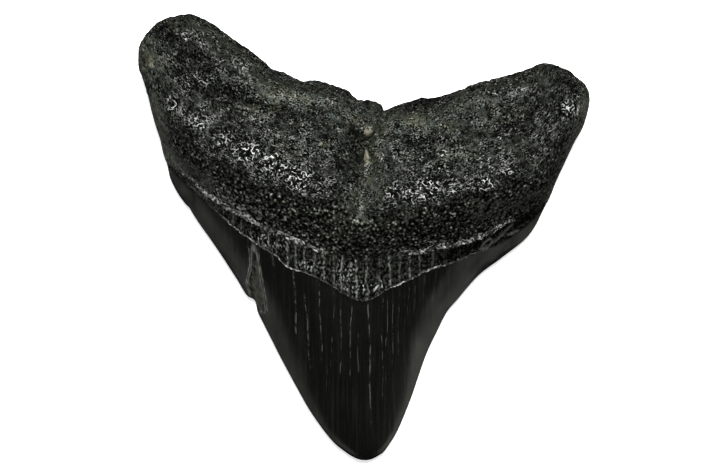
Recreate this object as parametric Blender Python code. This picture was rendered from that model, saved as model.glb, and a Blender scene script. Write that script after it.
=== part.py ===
"""A fossil megalodon tooth: one solid that lies on its flat labial face, with the domed lingual face up.

X runs across the tooth, +Y from the crown's tip towards the root and +Z up from the surface it lies on. The
origin is at the middle of the tooth's footprint. The skin is a loft of closed sections, one for each station
across the tooth. Each section follows the lingual face from the lower outline to the upper one and comes back
along the labial face. The heights come from the lines that a tooth is described by: the basal margin, the
crest of the root's swelling, the edge of the bourlette and the edge of the enamel.
"""

import math

import bmesh
import bpy
import numpy as np
from mathutils import Vector, noise

MM = 0.001

# Driving dimensions, in millimetres. The drawn tooth below is brought to exactly these.
WIDTH = 75.0  # across the two root lobes
LENGTH = 74.3  # from the higher lobe to the tip
THICKNESS = 17.8  # from the labial face to the crest of the root's swelling

# The outline as drawn in plan, in millimetres: over the root from left to right ...
UPPER_OUTLINE = [
    (-37.4, 29.5), (-37.1, 32.0), (-36.1, 33.8), (-34.6, 35.4), (-32.3, 36.6), (-28.9, 37.2), (-27.3, 36.7),
    (-25.3, 35.5), (-21.4, 32.5), (-18.9, 31.2), (-16.8, 29.2), (-15.4, 27.9), (-13.1, 27.4), (-10.3, 25.9),
    (-7.6, 26.0), (-4.3, 24.9), (-0.9, 22.8), (0.4, 22.9), (2.75, 22.3), (3.3, 21.1), (4.6, 21.7),
    (6.4, 22.3), (9.4, 23.2), (11.8, 23.0), (15.8, 24.3), (19.1, 25.7), (22.8, 26.5), (27.1, 28.0),
    (28.9, 28.8), (30.6, 29.0), (32.8, 28.3), (34.1, 27.7), (35.9, 26.2), (36.9, 25.2), (37.5, 23.3),
]  # fmt: skip
# ... and back from right to left, round the crown's tip and past the chip in its left cutting edge.
LOWER_OUTLINE = [
    (37.2, 21.2), (36.3, 18.3), (34.9, 15.8), (33.3, 12.2), (32.1, 9.5), (31.1, 7.0), (29.6, 4.0),
    (28.3, 1.8), (26.6, -0.5), (22.8, -3.5), (19.1, -6.3), (15.6, -10.3), (13.9, -12.3), (12.6, -14.8),
    (10.6, -19.0), (9.1, -23.2), (7.6, -27.5), (5.6, -32.2), (3.6, -35.4), (2.6, -36.25), (1.4, -36.9),
    (0.1, -37.1), (-1.4, -36.75), (-3.4, -35.5), (-5.4, -33.7), (-8.4, -29.7), (-10.75, -25.7),
    (-13.4, -20.8), (-15.9, -15.9), (-17.5, -12.7), (-17.8, -11.9), (-17.95, -10.8), (-18.4, -10.2),
    (-19.25, -9.8), (-19.9, -9.0), (-21.4, -6.5), (-25.2, -0.7), (-27.4, 2.4), (-28.55, 4.2),
    (-29.0, 5.0), (-29.8, 5.8), (-31.0, 7.5), (-32.25, 10.0), (-32.75, 12.3), (-33.7, 14.5),
    (-33.95, 16.2), (-34.9, 19.8), (-36.25, 24.5), (-37.2, 27.5),
]  # fmt: skip

# Lines across the lingual face, from left to right: (x, y) or (x, y, height above the labial face).
SHELF_LINE = [  # where the basal face turns over into the root's swelling
    (-36.5, 33.0, 7.6), (-33.1, 31.8, 9.2), (-29.75, 29.8, 10.4), (-26.4, 27.8, 11.4), (-23.1, 26.0, 12.3),
    (-19.75, 24.0, 13.1), (-16.9, 22.8, 13.7), (-13.9, 22.0, 14.2), (-10.6, 21.2, 14.6), (-7.25, 20.5, 14.8),
    (-3.1, 19.5, 14.6), (-0.25, 18.5, 14.2), (3.6, 18.0, 14.4), (6.1, 17.2, 14.9), (11.1, 17.0, 15.1),
    (16.1, 17.5, 14.8), (21.1, 18.4, 13.9), (25.25, 19.8, 12.8), (29.4, 21.6, 11.6), (32.75, 23.2, 10.3),
    (36.6, 24.2, 7.8),
]  # fmt: skip
CREST_LINE = [  # the highest line of the root's swelling
    (-37.0, 27.0, 8.0), (-35.6, 24.5, 9.6), (-32.25, 19.8, 11.5), (-28.9, 16.5, 12.8), (-25.25, 14.0, 13.9),
    (-21.4, 12.0, 15.0), (-17.25, 9.8, 16.0), (-13.1, 8.2, 16.8), (-8.9, 7.3, 17.3), (-4.75, 6.7, 17.4),
    (-2.25, 5.3, 16.9), (-0.25, 4.0, 16.4), (1.75, 4.8, 16.9), (4.4, 5.7, 17.5), (8.6, 5.7, 17.8),
    (12.75, 6.3, 17.5), (16.9, 7.8, 16.8), (21.1, 8.8, 15.8), (24.75, 10.2, 14.7), (28.6, 12.0, 13.2),
    (31.4, 15.3, 12.0), (34.1, 19.0, 10.4), (37.0, 22.3, 8.2),
]  # fmt: skip
ROOT_EDGE = [  # where the root's bone ends and the bourlette begins
    (-37.5, 17.5), (-34.8, 14.5), (-32.7, 12.8), (-29.75, 10.7), (-27.25, 8.5), (-25.1, 6.7), (-23.1, 5.3),
    (-20.6, 4.0), (-16.4, 1.8), (-13.9, 1.0), (-10.6, -0.7), (-7.25, -2.0), (-3.9, -3.0), (-0.6, -3.3),
    (2.75, -3.2), (6.1, -2.5), (9.4, -2.3), (11.9, -1.5), (15.25, -1.0), (18.6, 0.0), (21.4, 1.2),
    (23.75, 2.7), (27.75, 4.2), (30.25, 5.9), (32.1, 8.2), (34.5, 11.0), (37.5, 14.0),
]  # fmt: skip
ENAMEL_EDGE = [  # where the bourlette ends and the crown's enamel begins
    (-37.5, 17.0), (-34.25, 13.8), (-32.75, 12.1), (-30.6, 10.0), (-27.9, 7.4), (-25.1, 5.0), (-21.9, 2.2),
    (-19.75, 0.5), (-17.25, -1.3), (-14.75, -2.7), (-12.6, -4.7), (-11.25, -5.3), (-8.9, -6.0),
    (-6.9, -7.0), (-4.75, -8.2), (-3.1, -9.2), (-0.9, -10.2), (0.75, -10.2), (2.4, -9.5), (4.1, -8.3),
    (6.9, -7.2), (10.25, -5.5), (14.75, -4.0), (19.4, -2.1), (21.4, -1.5), (23.6, -0.3), (26.1, 1.3),
    (28.6, 3.5), (30.6, 5.4), (32.3, 7.6), (34.5, 10.4), (37.5, 13.4),
]  # fmt: skip

# The crown's dome: its two flanks as (y, x), and how high it stands above its edges at a distance from the tip
LEFT_FLANK = [
    (-37.1, 0.1), (-36.2, -2.3), (-33.7, -5.4), (-29.7, -8.4), (-20.8, -13.4), (-12.7, -17.7), (-6.5, -21.5),
    (2.3, -27.4), (8.0, -31.0), (14.5, -34.5), (20.0, -37.5),
]  # fmt: skip
RIGHT_FLANK = [
    (-37.1, 0.1), (-36.9, 1.4), (-35.4, 3.6), (-32.2, 5.6), (-27.5, 7.6), (-19.0, 10.6), (-14.8, 12.6),
    (-10.3, 15.6), (-6.3, 19.1), (-3.5, 22.8), (-0.5, 26.6), (4.0, 29.7), (9.5, 32.3), (14.5, 34.6),
    (20.0, 37.5),
]  # fmt: skip
DOME_RISE = [(0.0, 0.0), (0.6, 0.8), (2.0, 1.6), (5.0, 2.6), (10.0, 3.9), (17.0, 5.6), (25.0, 7.3),
             (33.0, 8.6), (45.0, 9.7), (75.0, 10.4)]  # fmt: skip
TIP_Y = -37.1
# ... and its profile across, as (y, power): 2 is a parabola, more is flatter on top and steeper at its edges
DOME_POWER = [(-37.1, 2.2), (-20.0, 2.2), (-12.0, 2.45), (-5.0, 2.75), (20.0, 2.8)]

# Edges, ledges and wear
CUTTING_EDGE_HEIGHT = 1.4  # of the crown's edge above the labial face
CUTTING_EDGE_ROUND = 0.5  # how far in from the edge its worn rounding reaches
LEAST_RISE = 0.05  # of the lingual face over the rim, anywhere
LEAST_SPAN = 0.4  # between two of the lines, where they run together
ROOT_RIM_HEIGHT = 5.2  # of the root's rim, about half way up its thickness
ROOT_RIM_ROUND = 3.6
BASAL_RIM_SHARE = 0.42  # how much of the shelf's height above the rim is kept at the rim
SHOULDER_LEFT, SHOULDER_RIGHT = -34.4, 34.4  # stations where the rim turns into a cutting edge
SHOULDER_BLEND = 4.0
BOURLETTE_STEP = 0.40  # the bourlette stands this proud of the enamel
BOURLETTE_RISE = 0.55  # and rises this much more by the root's edge
ROOT_LIP = 0.30  # the ledge of the root over the bourlette
LEDGE_BLEND = 0.5  # over which each of these ledges rises
BLADE_FADE = 3.0  # past the enamel, over which the cutting edge turns into the root's blunt rim
SWELL_POWER, SHELF_POWER = 1.7, 1.5  # how full the root's face and its top are

# Ridges (+) and hollows (-) drawn across the lingual face: half-width, height and path
RELIEF = {
    "nutrient groove": (
        1.1, -1.1, [(3.3, 21.4), (3.4, 19.8), (2.1, 17.3), (0.6, 15.8), (0.3, 14.5), (0.9, 13.2)],
    ),
    "mouth of the groove": (1.8, -0.4, [(0.6, 15.8), (0.5, 12.5)]),
    "valley below the groove": (3.4, -0.9, [(1.6, 17.5), (0.4, 12.0), (-0.4, 7.0), (-0.2, 1.5)]),
    "left ledge of the shelf": (0.9, 0.4, [(-21.0, 24.0), (-16.0, 22.3), (-9.0, 20.8), (-4.5, 19.6)]),
    "left crease under the shelf": (1.5, -0.8, [(-25.0, 23.6), (-19.0, 21.4), (-12.5, 19.6), (-3.0, 17.6)]),
    "left trough on the lobe's end": (1.4, -0.8, [(-34.2, 34.0), (-30.5, 32.0), (-26.5, 29.7)]),
    "left hollow on the lobe": (3.0, -0.5, [(-29.0, 26.0), (-22.0, 20.5), (-16.0, 16.5)]),
    "right ridge by the rim": (1.1, 0.5, [(18.5, 23.0), (22.8, 24.5), (26.0, 25.2), (30.3, 25.8)]),
    "right trough": (1.6, -0.8, [(15.0, 18.4), (20.0, 18.8), (24.0, 20.0), (28.0, 22.6), (31.5, 25.6)]),
    "right hollow by the groove": (1.8, -0.5, [(4.0, 16.6), (7.3, 15.8), (11.0, 15.2)]),
    "right middle ridge": (1.4, 0.4, [(13.0, 14.2), (20.0, 16.0), (26.0, 18.2), (32.0, 22.3), (35.5, 23.6)]),
    "right lower trough": (1.8, -0.4, [(10.0, 10.5), (18.0, 12.0), (24.0, 14.5), (29.0, 18.0)]),
    "left flank hollow": (2.2, -0.5, [(-33.5, 24.0), (-31.0, 19.0), (-27.0, 15.6)]),
}  # fmt: skip

# The flake scar above the chip in the left cutting edge
SCAR = [
    (-12.4, -18.6, -16.1), (-10.2, -18.9, -16.3), (-9.0, -19.2, -16.5), (-7.5, -19.6, -16.8),
    (-5.0, -18.9, -17.1), (-2.0, -19.0, -17.4), (0.5, -18.9, -17.9),
]  # fmt: skip
SCAR_DEPTH = 0.30
SCAR_BANK = 0.42  # share of its width that each bank takes
SCAR_MOUTH, SCAR_FADE = 0.6, 9.0  # lengths over which it deepens at the chip and dies out upwards

# The labial face
LABIAL_ENAMEL_EDGE = [
    (-37.5, 15.5), (-33.5, 14.2), (-25.0, 12.4), (-12.0, 12.8), (0.0, 13.8), (12.0, 12.6), (24.0, 11.4),
    (33.0, 12.0), (37.5, 13.0),
]  # fmt: skip
LABIAL_FLAT_SINK = 0.20  # how much of the shallow belly is worn away to the plane that the tooth rests on
LABIAL_EDGE_STEP = 0.45  # the root's bone lies this far behind the enamel
LABIAL_EDGE_RISE = 1.1  # how far the crown's belly lies back at its cutting edges
LABIAL_EDGE_POWER = 3
LABIAL_TIP_RISE, LABIAL_TIP_FROM = 0.5, -22.0  # the tip bends up, from this station on
LABIAL_LOBE_RISE, LABIAL_LOBE_FROM = 1.6, 12.0  # and so do the root's lobes
LABIAL_BLEND = 1.5  # over which the enamel turns into bone

# Lumps of the root's bone
LUMP_SIZE, LUMP_HEIGHT = 4.2, 0.30
KNOB_SIZE, KNOB_HEIGHT = 1.9, 0.16
NOISE_GAIN = 1.6  # brings the noise to heights of about 1

STATIONS = 86  # closed sections across the tooth
LINGUAL_ROWS = 37  # points up the lingual side of each section
LABIAL_ROWS = 13  # points back down the labial side
END_CROWDING = 0.85  # 0 spaces the stations evenly, 1 crowds them at the lobes' ends
CROWN_ROWS, BOURLETTE_ROWS = 0.30, 0.20  # shares of the lingual rows
LABIAL_CROWN_ROWS = 0.58  # share of the labial rows
RIM_CROWDING = 0.6  # how strongly the rows crowd towards the rims
LEAST_SHARE = 0.06  # of a section's length between two of the lines that its rows follow


def curve_through(points, steps=10, closed=False):
    """A smooth curve that passes through the points, as an array of many."""
    p = np.array(points, float)
    if closed:
        p = np.vstack([p[-1], p, p[0], p[1]])
    else:
        p = np.vstack([2 * p[0] - p[1], p, 2 * p[-1] - p[-2]])
    t = np.linspace(0, 1, steps, endpoint=False)[:, None]
    spans = []
    for a, b, c, d in zip(p, p[1:], p[2:], p[3:]):
        spans.append(b + 0.5 * t * (c - a + t * (2 * a - 5 * b + 4 * c - d + t * (3 * (b - c) + d - a))))
    if not closed:
        spans.append(p[-2:-1])
    return np.vstack(spans)


def line_value(points, at, column=1):
    """The curve's value in a column, read where its first column is at."""
    curve = curve_through(points)
    order = np.argsort(curve[:, 0], kind="stable")
    return np.interp(at, curve[order, 0], curve[order, column])


def distance_to(path, x, y):
    """Distance in plan from each point to the nearest place on a path."""
    best = np.full(x.shape, np.inf)
    for start, end in zip(path[:-1], path[1:]):
        run = end - start
        t = np.clip(((x - start[0]) * run[0] + (y - start[1]) * run[1]) / max(run @ run, 1e-12), 0, 1)
        best = np.minimum(best, np.hypot(x - start[0] - t * run[0], y - start[1] - t * run[1]))
    return best


def ease(t):
    """Turns 0 to 1 into a smooth step."""
    t = np.clip(t, 0, 1)
    return t * t * (3 - 2 * t)


def quarter_round(distance, radius):
    """Rises from 0 at an edge to 1 at the radius, as a quarter of a circle does."""
    t = np.clip(distance / radius, 0, 1)
    return np.sqrt(1 - (1 - t) ** 2)


def bumps(x, y, z, size):
    """Smooth noise between about -1 and 1, with features of that size."""
    at = np.stack([x, y, z], -1).reshape(-1, 3) / size
    return np.array([noise.noise(Vector(p)) for p in at]).reshape(x.shape) * NOISE_GAIN


def plan_outline():
    """The closed outline, and its upper and lower halves from left to right."""
    outline = curve_through(UPPER_OUTLINE + LOWER_OUTLINE, closed=True)
    left, right = np.argmin(outline[:, 0]), np.argmax(outline[:, 0])
    turned = np.roll(outline, -left, axis=0)
    right = (right - left) % len(outline)
    upper, lower = turned[: right + 1], np.vstack([turned[right:], turned[:1]])[::-1]
    return np.vstack([turned, turned[:1]]), upper, lower


def stations(upper):
    """Where the sections stand across the tooth."""
    t = np.linspace(-1, 1, STATIONS + 2)[1:-1]
    spread = (1 - END_CROWDING) * t + END_CROWDING * np.sin(t * math.pi / 2)
    left, right = upper[0, 0], upper[-1, 0]
    return (left + right) / 2 + spread * (right - left) / 2


def rows_between(low, high, knots, levels, count):
    """Points of each section from its low rim to its high one, with whole rows along the levels between."""
    v = np.linspace(0, 1, count)
    crowded = (1 - np.cos(v * math.pi)) / 2
    v = v + RIM_CROWDING * (crowded - v)
    shares = [np.zeros_like(low)]
    for level in levels:
        share = np.clip((level - low) / (high - low), shares[-1] + LEAST_SHARE, None)
        shares.append(np.minimum(share, 1 - LEAST_SHARE * (len(levels) + 1 - len(shares))))
    shares = np.stack(shares + [np.ones_like(low)], 1)
    rows = np.array([np.interp(v, knots, share) for share in shares])
    return low[:, None] + rows * (high - low)[:, None]


def lower_rim(x):
    """How high the lower rim stands, and how far it is a blade: 1 along the crown, 0 on the lobes."""
    blade = ease((x - SHOULDER_LEFT) / SHOULDER_BLEND) * ease((SHOULDER_RIGHT - x) / SHOULDER_BLEND)
    return ROOT_RIM_HEIGHT + (CUTTING_EDGE_HEIGHT - ROOT_RIM_HEIGHT) * blade, blade


def rim_height(x, y, low, high):
    """How high the rim stands, where the two faces meet, carried inwards over the faces."""
    edge, blade = lower_rim(x)
    up = ease((y - low) / np.maximum(high - low, 1e-6))
    return edge + (ROOT_RIM_HEIGHT - edge) * up, blade


def across_crown(x, y):
    """0 along the middle of the crown and 1 at its cutting edges."""
    left, right = line_value(LEFT_FLANK, y), line_value(RIGHT_FLANK, y)
    return np.clip(np.abs(2 * x - left - right) / np.maximum(right - left, 1e-6), 0, 1)


def crown_dome(x, y):
    """Height of the crown's dome above its cutting edges."""
    return line_value(DOME_RISE, y - TIP_Y) * (1 - across_crown(x, y) ** line_value(DOME_POWER, y))


def relief(x, y):
    """The ridges and hollows of the lingual face, added up."""
    height = np.zeros(x.shape)
    for half_width, rise, path in RELIEF.values():
        away = distance_to(curve_through(path, 4), x, y)
        height += rise * np.exp(-((away / half_width) ** 2))
    return height


def scar_hollow(x, y):
    """How deep the flake scar is: 0 at its sides and its upper end, 1 along its middle near the chip."""
    left, right = line_value(SCAR, y), line_value(SCAR, y, 2)
    inside = np.minimum(x - left, right - x) / np.maximum(right - left, 0.1)
    mouth = ease((y - SCAR[0][0]) / SCAR_MOUTH + 0.5)
    return ease(inside / SCAR_BANK) * mouth * ease((SCAR[-1][0] - y) / SCAR_FADE)


def lingual_height(x, y, low, high, outline):
    """Height of the domed face that looks up."""
    rim, blade = rim_height(x, y, low, high)
    enamel, root = line_value(ENAMEL_EDGE, x), line_value(ROOT_EDGE, x)
    up_band = np.clip((y - enamel) / np.maximum(root - enamel, LEAST_SPAN), 0, 1)
    band = ease((y - enamel) / LEDGE_BLEND) * (BOURLETTE_STEP + BOURLETTE_RISE * up_band**2)
    edge, _ = lower_rim(x)
    crown = edge + crown_dome(x, y) + band

    foot = edge + crown_dome(x, root) + BOURLETTE_STEP + BOURLETTE_RISE + ROOT_LIP
    crest, crest_y = line_value(CREST_LINE, x, 2), line_value(CREST_LINE, x)
    shelf, shelf_y = line_value(SHELF_LINE, x, 2), line_value(SHELF_LINE, x)
    basal = ROOT_RIM_HEIGHT + BASAL_RIM_SHARE * (shelf - ROOT_RIM_HEIGHT)
    to_crest = np.clip((y - root) / np.maximum(crest_y - root, LEAST_SPAN), 0, 1)
    to_shelf = np.clip((y - crest_y) / np.maximum(shelf_y - crest_y, LEAST_SPAN), 0, 1)
    to_rim = np.clip((y - shelf_y) / np.maximum(high - shelf_y, LEAST_SPAN), 0, 1)
    swelling = foot + (crest - foot) * (1 - (1 - to_crest) ** SWELL_POWER)
    swelling += (shelf - crest) * to_shelf**SHELF_POWER + (basal - shelf) * (to_rim + to_rim**2) / 2
    lumps, knobs = bumps(x, y, swelling, LUMP_SIZE), bumps(x, y, swelling, KNOB_SIZE)
    swelling += LUMP_HEIGHT * lumps + KNOB_HEIGHT * knobs
    height = crown + (swelling + relief(x, y) - crown) * ease((y - root) / LEDGE_BLEND)

    height -= SCAR_DEPTH * scar_hollow(x, y)

    from_rim = distance_to(outline, x, y)
    sharp = blade * (1 - ease((y - enamel) / BLADE_FADE))
    reach = ROOT_RIM_ROUND + (CUTTING_EDGE_ROUND - ROOT_RIM_ROUND) * sharp
    return rim + np.maximum(height - rim, LEAST_RISE) * quarter_round(from_rim, reach)


def labial_height(x, y, low, high, outline):
    """Height of the flat face that the tooth lies on: 0 where it is worn to the plane."""
    rim, blade = rim_height(x, y, low, high)
    past_enamel = y - line_value(LABIAL_ENAMEL_EDGE, x)
    on_root = ease(past_enamel / LABIAL_BLEND)
    to_tip = ease((LABIAL_TIP_FROM - y) / (LABIAL_TIP_FROM - TIP_Y))
    to_lobe = ease((np.abs(x) - LABIAL_LOBE_FROM) / (WIDTH / 2 - LABIAL_LOBE_FROM))
    crown_belly = LABIAL_EDGE_RISE * across_crown(x, y) ** LABIAL_EDGE_POWER + LABIAL_TIP_RISE * to_tip
    root_belly = LABIAL_LOBE_RISE * to_lobe + LABIAL_EDGE_STEP
    belly = crown_belly + (root_belly - crown_belly) * on_root - LABIAL_FLAT_SINK
    from_rim = distance_to(outline, x, y)
    sharp = blade * (1 - ease(past_enamel / BLADE_FADE))
    reach = ROOT_RIM_ROUND + (2 * CUTTING_EDGE_ROUND - ROOT_RIM_ROUND) * sharp
    return rim - (rim - np.maximum(belly, 0)) * quarter_round(from_rim, reach)


def tooth_sections():
    """Every section's points in order, one row for each station, and the points at the two ends."""
    outline, upper, lower = plan_outline()
    x = stations(upper)
    low, high = np.interp(x, lower[:, 0], lower[:, 1]), np.interp(x, upper[:, 0], upper[:, 1])
    lines = [line_value(ENAMEL_EDGE, x), line_value(ROOT_EDGE, x)]
    knots = [0, CROWN_ROWS, CROWN_ROWS + BOURLETTE_ROWS, 1]
    up = rows_between(low, high, knots, lines, LINGUAL_ROWS)
    enamel_edge = [line_value(LABIAL_ENAMEL_EDGE, x)]
    down = rows_between(low, high, [0, LABIAL_CROWN_ROWS, 1], enamel_edge, LABIAL_ROWS + 2)
    down = down[:, -2:0:-1]
    sides = []
    for y, height in ((up, lingual_height), (down, labial_height)):
        across = np.broadcast_to(x[:, None], y.shape)
        sides.append(np.stack([across, y, height(across, y, low[:, None], high[:, None], outline)], -1))
    ends = np.array([[*upper[0], ROOT_RIM_HEIGHT], [*upper[-1], ROOT_RIM_HEIGHT]])
    return np.concatenate(sides, axis=1), ends


def to_size(points, lowest, highest):
    """Brings the drawn points to the driving dimensions, with the origin in the footprint's middle."""
    scale = np.array([WIDTH, LENGTH, THICKNESS]) / (highest - lowest)
    middle = np.array([*(lowest + highest)[:2] / 2, lowest[2]])
    return (points - middle) * scale * MM


def loft(name, sections, ends):
    """One closed mesh: a band of faces between each two sections, and a fan to the point at each end."""
    corners = np.vstack([sections.reshape(-1, 3), ends])
    lowest, highest = corners.min(0), corners.max(0)
    skin = bmesh.new()
    rings = [[skin.verts.new(p) for p in to_size(ring, lowest, highest)] for ring in sections]
    first, last = (skin.verts.new(p) for p in to_size(ends, lowest, highest))
    count = len(rings[0])
    for ring, after in zip(rings, rings[1:]):
        for i in range(count):
            j = (i + 1) % count
            skin.faces.new((ring[i], after[i], after[j], ring[j]))
    for i in range(count):
        j = (i + 1) % count
        skin.faces.new((first, rings[0][i], rings[0][j]))
        skin.faces.new((last, rings[-1][j], rings[-1][i]))
    bmesh.ops.recalc_face_normals(skin, faces=skin.faces)
    mesh = bpy.data.meshes.new(name)
    skin.to_mesh(mesh)
    skin.free()
    tooth = bpy.data.objects.new(name, mesh)
    bpy.context.scene.collection.objects.link(tooth)
    return tooth


def fossil_black():
    """Black, mineralised enamel and bone with a soft polish."""
    material = bpy.data.materials.new("fossil_black")
    material.use_nodes = True
    surface = material.node_tree.nodes["Principled BSDF"]
    surface.inputs["Base Color"].default_value = (0.035, 0.036, 0.033, 1)
    surface.inputs["Roughness"].default_value = 0.38
    surface.inputs["Metallic"].default_value = 0.0
    return material


for leftover in list(bpy.data.objects):
    bpy.data.objects.remove(leftover)
tooth = loft("tooth", *tooth_sections())
tooth.data.materials.append(fossil_black())
tooth.data.shade_smooth()
tooth.data.set_sharp_from_angle(angle=math.radians(50))
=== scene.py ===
"""A black fossil megalodon tooth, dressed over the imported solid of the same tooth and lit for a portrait.

The tooth is one piece of mesh. Its skin is a loft of closed sections across the tooth, as fine as a grain of
sand: the large forms come from the lines that a tooth is described by, and pores, lumps, ribs and crumbling
rims are laid over them along the skin's own normals. Three materials cover it: bone, bourlette and enamel.
"""

import math
from functools import partial

import bpy
import numpy as np
from bpy.props import FloatProperty, FloatVectorProperty, IntProperty, PointerProperty
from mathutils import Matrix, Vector, noise


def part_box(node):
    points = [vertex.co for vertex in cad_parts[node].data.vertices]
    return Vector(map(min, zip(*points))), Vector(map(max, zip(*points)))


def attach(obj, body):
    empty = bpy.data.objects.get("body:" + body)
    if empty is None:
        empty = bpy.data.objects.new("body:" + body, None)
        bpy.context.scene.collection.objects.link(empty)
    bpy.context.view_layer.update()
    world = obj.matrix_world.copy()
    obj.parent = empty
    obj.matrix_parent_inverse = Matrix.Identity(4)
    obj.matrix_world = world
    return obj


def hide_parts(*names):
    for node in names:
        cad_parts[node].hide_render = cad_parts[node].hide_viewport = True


bl_info = {
    "name": "Fossil Tooth",
    "version": (1, 0, 0),
    "blender": (4, 5, 0),
    "location": "3D View > Sidebar > Fossil Tooth",
    "description": "Builds a fossil megalodon tooth over its packed solid, with a stage to show it on",
    "category": "Add Mesh",
}

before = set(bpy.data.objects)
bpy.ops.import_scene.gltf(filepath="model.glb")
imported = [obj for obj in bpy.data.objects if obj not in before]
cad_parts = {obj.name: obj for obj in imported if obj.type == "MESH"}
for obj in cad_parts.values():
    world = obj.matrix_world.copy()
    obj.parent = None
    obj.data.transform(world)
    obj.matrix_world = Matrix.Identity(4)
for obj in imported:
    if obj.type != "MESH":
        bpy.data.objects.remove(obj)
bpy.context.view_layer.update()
NODE, BODY, SLOT = "tooth", "root", "fossil_tooth"
TOOTH_LOW, TOOTH_HIGH = (np.array(corner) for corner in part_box(NODE))
MM = 0.001
TINY = 1e-9  # keeps a division from failing

WIDTH = 75.0  # of the tooth as drawn below, in millimetres
VIEW_WIDTH = 117.8  # what the camera takes in from side to side, in millimetres
VIEW_MIDDLE = (-1.66, 0.24)  # the place on the tooth that the camera stands over
FOCUS_HEIGHT = 3.0  # height at which that width holds

# The outline in plan, in millimetres from the middle of the footprint: over the root from left to right ...
UPPER_OUTLINE = [
    (-37.4, 29.5), (-37.1, 32.0), (-36.1, 33.8), (-34.6, 35.4), (-32.3, 36.6), (-28.9, 37.2), (-27.3, 36.7),
    (-25.3, 35.7), (-23.4, 34.4), (-21.4, 32.8), (-18.9, 31.2), (-16.8, 29.5), (-15.2, 28.1), (-13.1, 27.4),
    (-10.3, 26.1), (-7.6, 26.1), (-4.3, 25.1), (-2.4, 24.25), (-0.9, 22.9), (0.4, 22.9), (2.75, 22.3),
    (3.3, 21.1), (4.6, 21.7), (6.4, 22.3), (9.4, 23.2), (11.8, 23.3), (15.8, 24.5), (19.1, 25.85),
    (22.8, 26.75), (27.1, 28.0), (28.9, 28.8), (30.6, 29.0), (32.8, 28.3), (34.1, 27.7), (35.9, 26.2),
    (36.9, 25.2), (37.5, 23.3),
]  # fmt: skip
# ... and back from right to left, round the crown's tip and past the chip in its left cutting edge.
LOWER_OUTLINE = [
    (37.2, 21.2), (36.3, 18.3), (34.9, 15.8), (33.3, 12.2), (32.1, 9.5), (31.1, 7.0), (29.6, 4.0),
    (28.4, 1.7), (26.6, -0.5), (22.8, -3.5), (19.1, -6.3), (15.6, -10.3), (13.9, -12.3), (12.6, -14.8),
    (10.6, -19.0), (9.1, -23.2), (7.6, -27.5), (5.6, -32.2), (3.6, -35.4), (2.6, -36.25), (1.4, -36.9),
    (0.1, -37.1), (-1.4, -36.75), (-3.4, -35.5), (-5.4, -33.7), (-8.4, -29.7), (-10.75, -25.7),
    (-13.4, -20.8), (-15.9, -15.9), (-17.5, -12.7), (-17.8, -11.9), (-17.95, -10.8), (-18.4, -10.2),
    (-19.25, -9.8), (-19.9, -9.0), (-21.4, -6.5), (-25.2, -0.7), (-27.4, 2.4), (-28.55, 4.2), (-29.0, 5.0),
    (-29.8, 5.8), (-31.0, 7.5), (-32.25, 10.0), (-32.75, 12.3), (-33.5, 14.5), (-33.8, 16.2), (-34.9, 19.8),
    (-36.0, 24.5), (-37.0, 27.5),
]  # fmt: skip

# Lines across the lingual face, from left to right: (x, y) or (x, y, height above the labial face).
SHELF_LINE = [  # where the basal face turns over into the root's swelling
    (-36.5, 33.0, 7.6), (-33.1, 31.8, 9.2), (-29.75, 29.8, 10.4), (-26.4, 27.8, 11.4), (-23.1, 26.0, 12.3),
    (-19.75, 24.0, 13.1), (-16.9, 22.8, 13.7), (-13.9, 22.0, 14.2), (-10.6, 21.2, 14.6), (-7.25, 20.5, 14.8),
    (-3.1, 19.5, 14.6), (-0.25, 18.5, 14.2), (3.6, 18.0, 14.4), (6.1, 17.2, 14.9), (11.1, 17.0, 15.1),
    (16.1, 17.5, 14.8), (21.1, 18.4, 13.9), (25.25, 19.8, 12.8), (29.4, 21.6, 11.6), (32.75, 23.2, 10.3),
    (36.6, 24.2, 7.8),
]  # fmt: skip
CREST_LINE = [  # the highest line of the root's swelling
    (-37.0, 27.0, 8.0), (-35.6, 24.5, 9.6), (-32.25, 19.8, 11.5), (-28.9, 16.5, 12.8), (-25.25, 14.0, 13.9),
    (-21.4, 12.0, 15.0), (-17.25, 9.8, 16.0), (-13.1, 8.2, 16.8), (-8.9, 7.3, 17.3), (-4.75, 6.7, 17.4),
    (-2.25, 5.3, 16.9), (-0.25, 4.0, 16.4), (1.75, 4.8, 16.9), (4.4, 5.7, 17.5), (8.6, 5.7, 17.8),
    (12.75, 6.3, 17.5), (16.9, 7.8, 16.8), (21.1, 8.8, 15.8), (24.75, 10.2, 14.7), (28.6, 12.0, 13.2),
    (31.4, 15.3, 12.0), (34.1, 19.0, 10.4), (37.0, 22.3, 8.2),
]  # fmt: skip
ROOT_EDGE = [  # where the root's bone ends and the bourlette begins
    (-37.5, 17.5), (-34.8, 14.5), (-32.7, 12.8), (-29.75, 10.7), (-27.25, 8.5), (-25.1, 6.7), (-23.1, 5.3),
    (-20.6, 4.0), (-16.4, 1.8), (-13.9, 1.0), (-10.6, -0.7), (-7.25, -2.0), (-3.9, -3.0), (-0.6, -3.3),
    (2.75, -3.2), (6.1, -2.5), (9.4, -2.3), (11.9, -1.5), (15.25, -1.0), (18.6, 0.0), (21.4, 1.2),
    (23.75, 2.7), (27.75, 4.2), (30.25, 5.9), (32.1, 8.2), (34.5, 11.0), (37.5, 14.0),
]  # fmt: skip
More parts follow.
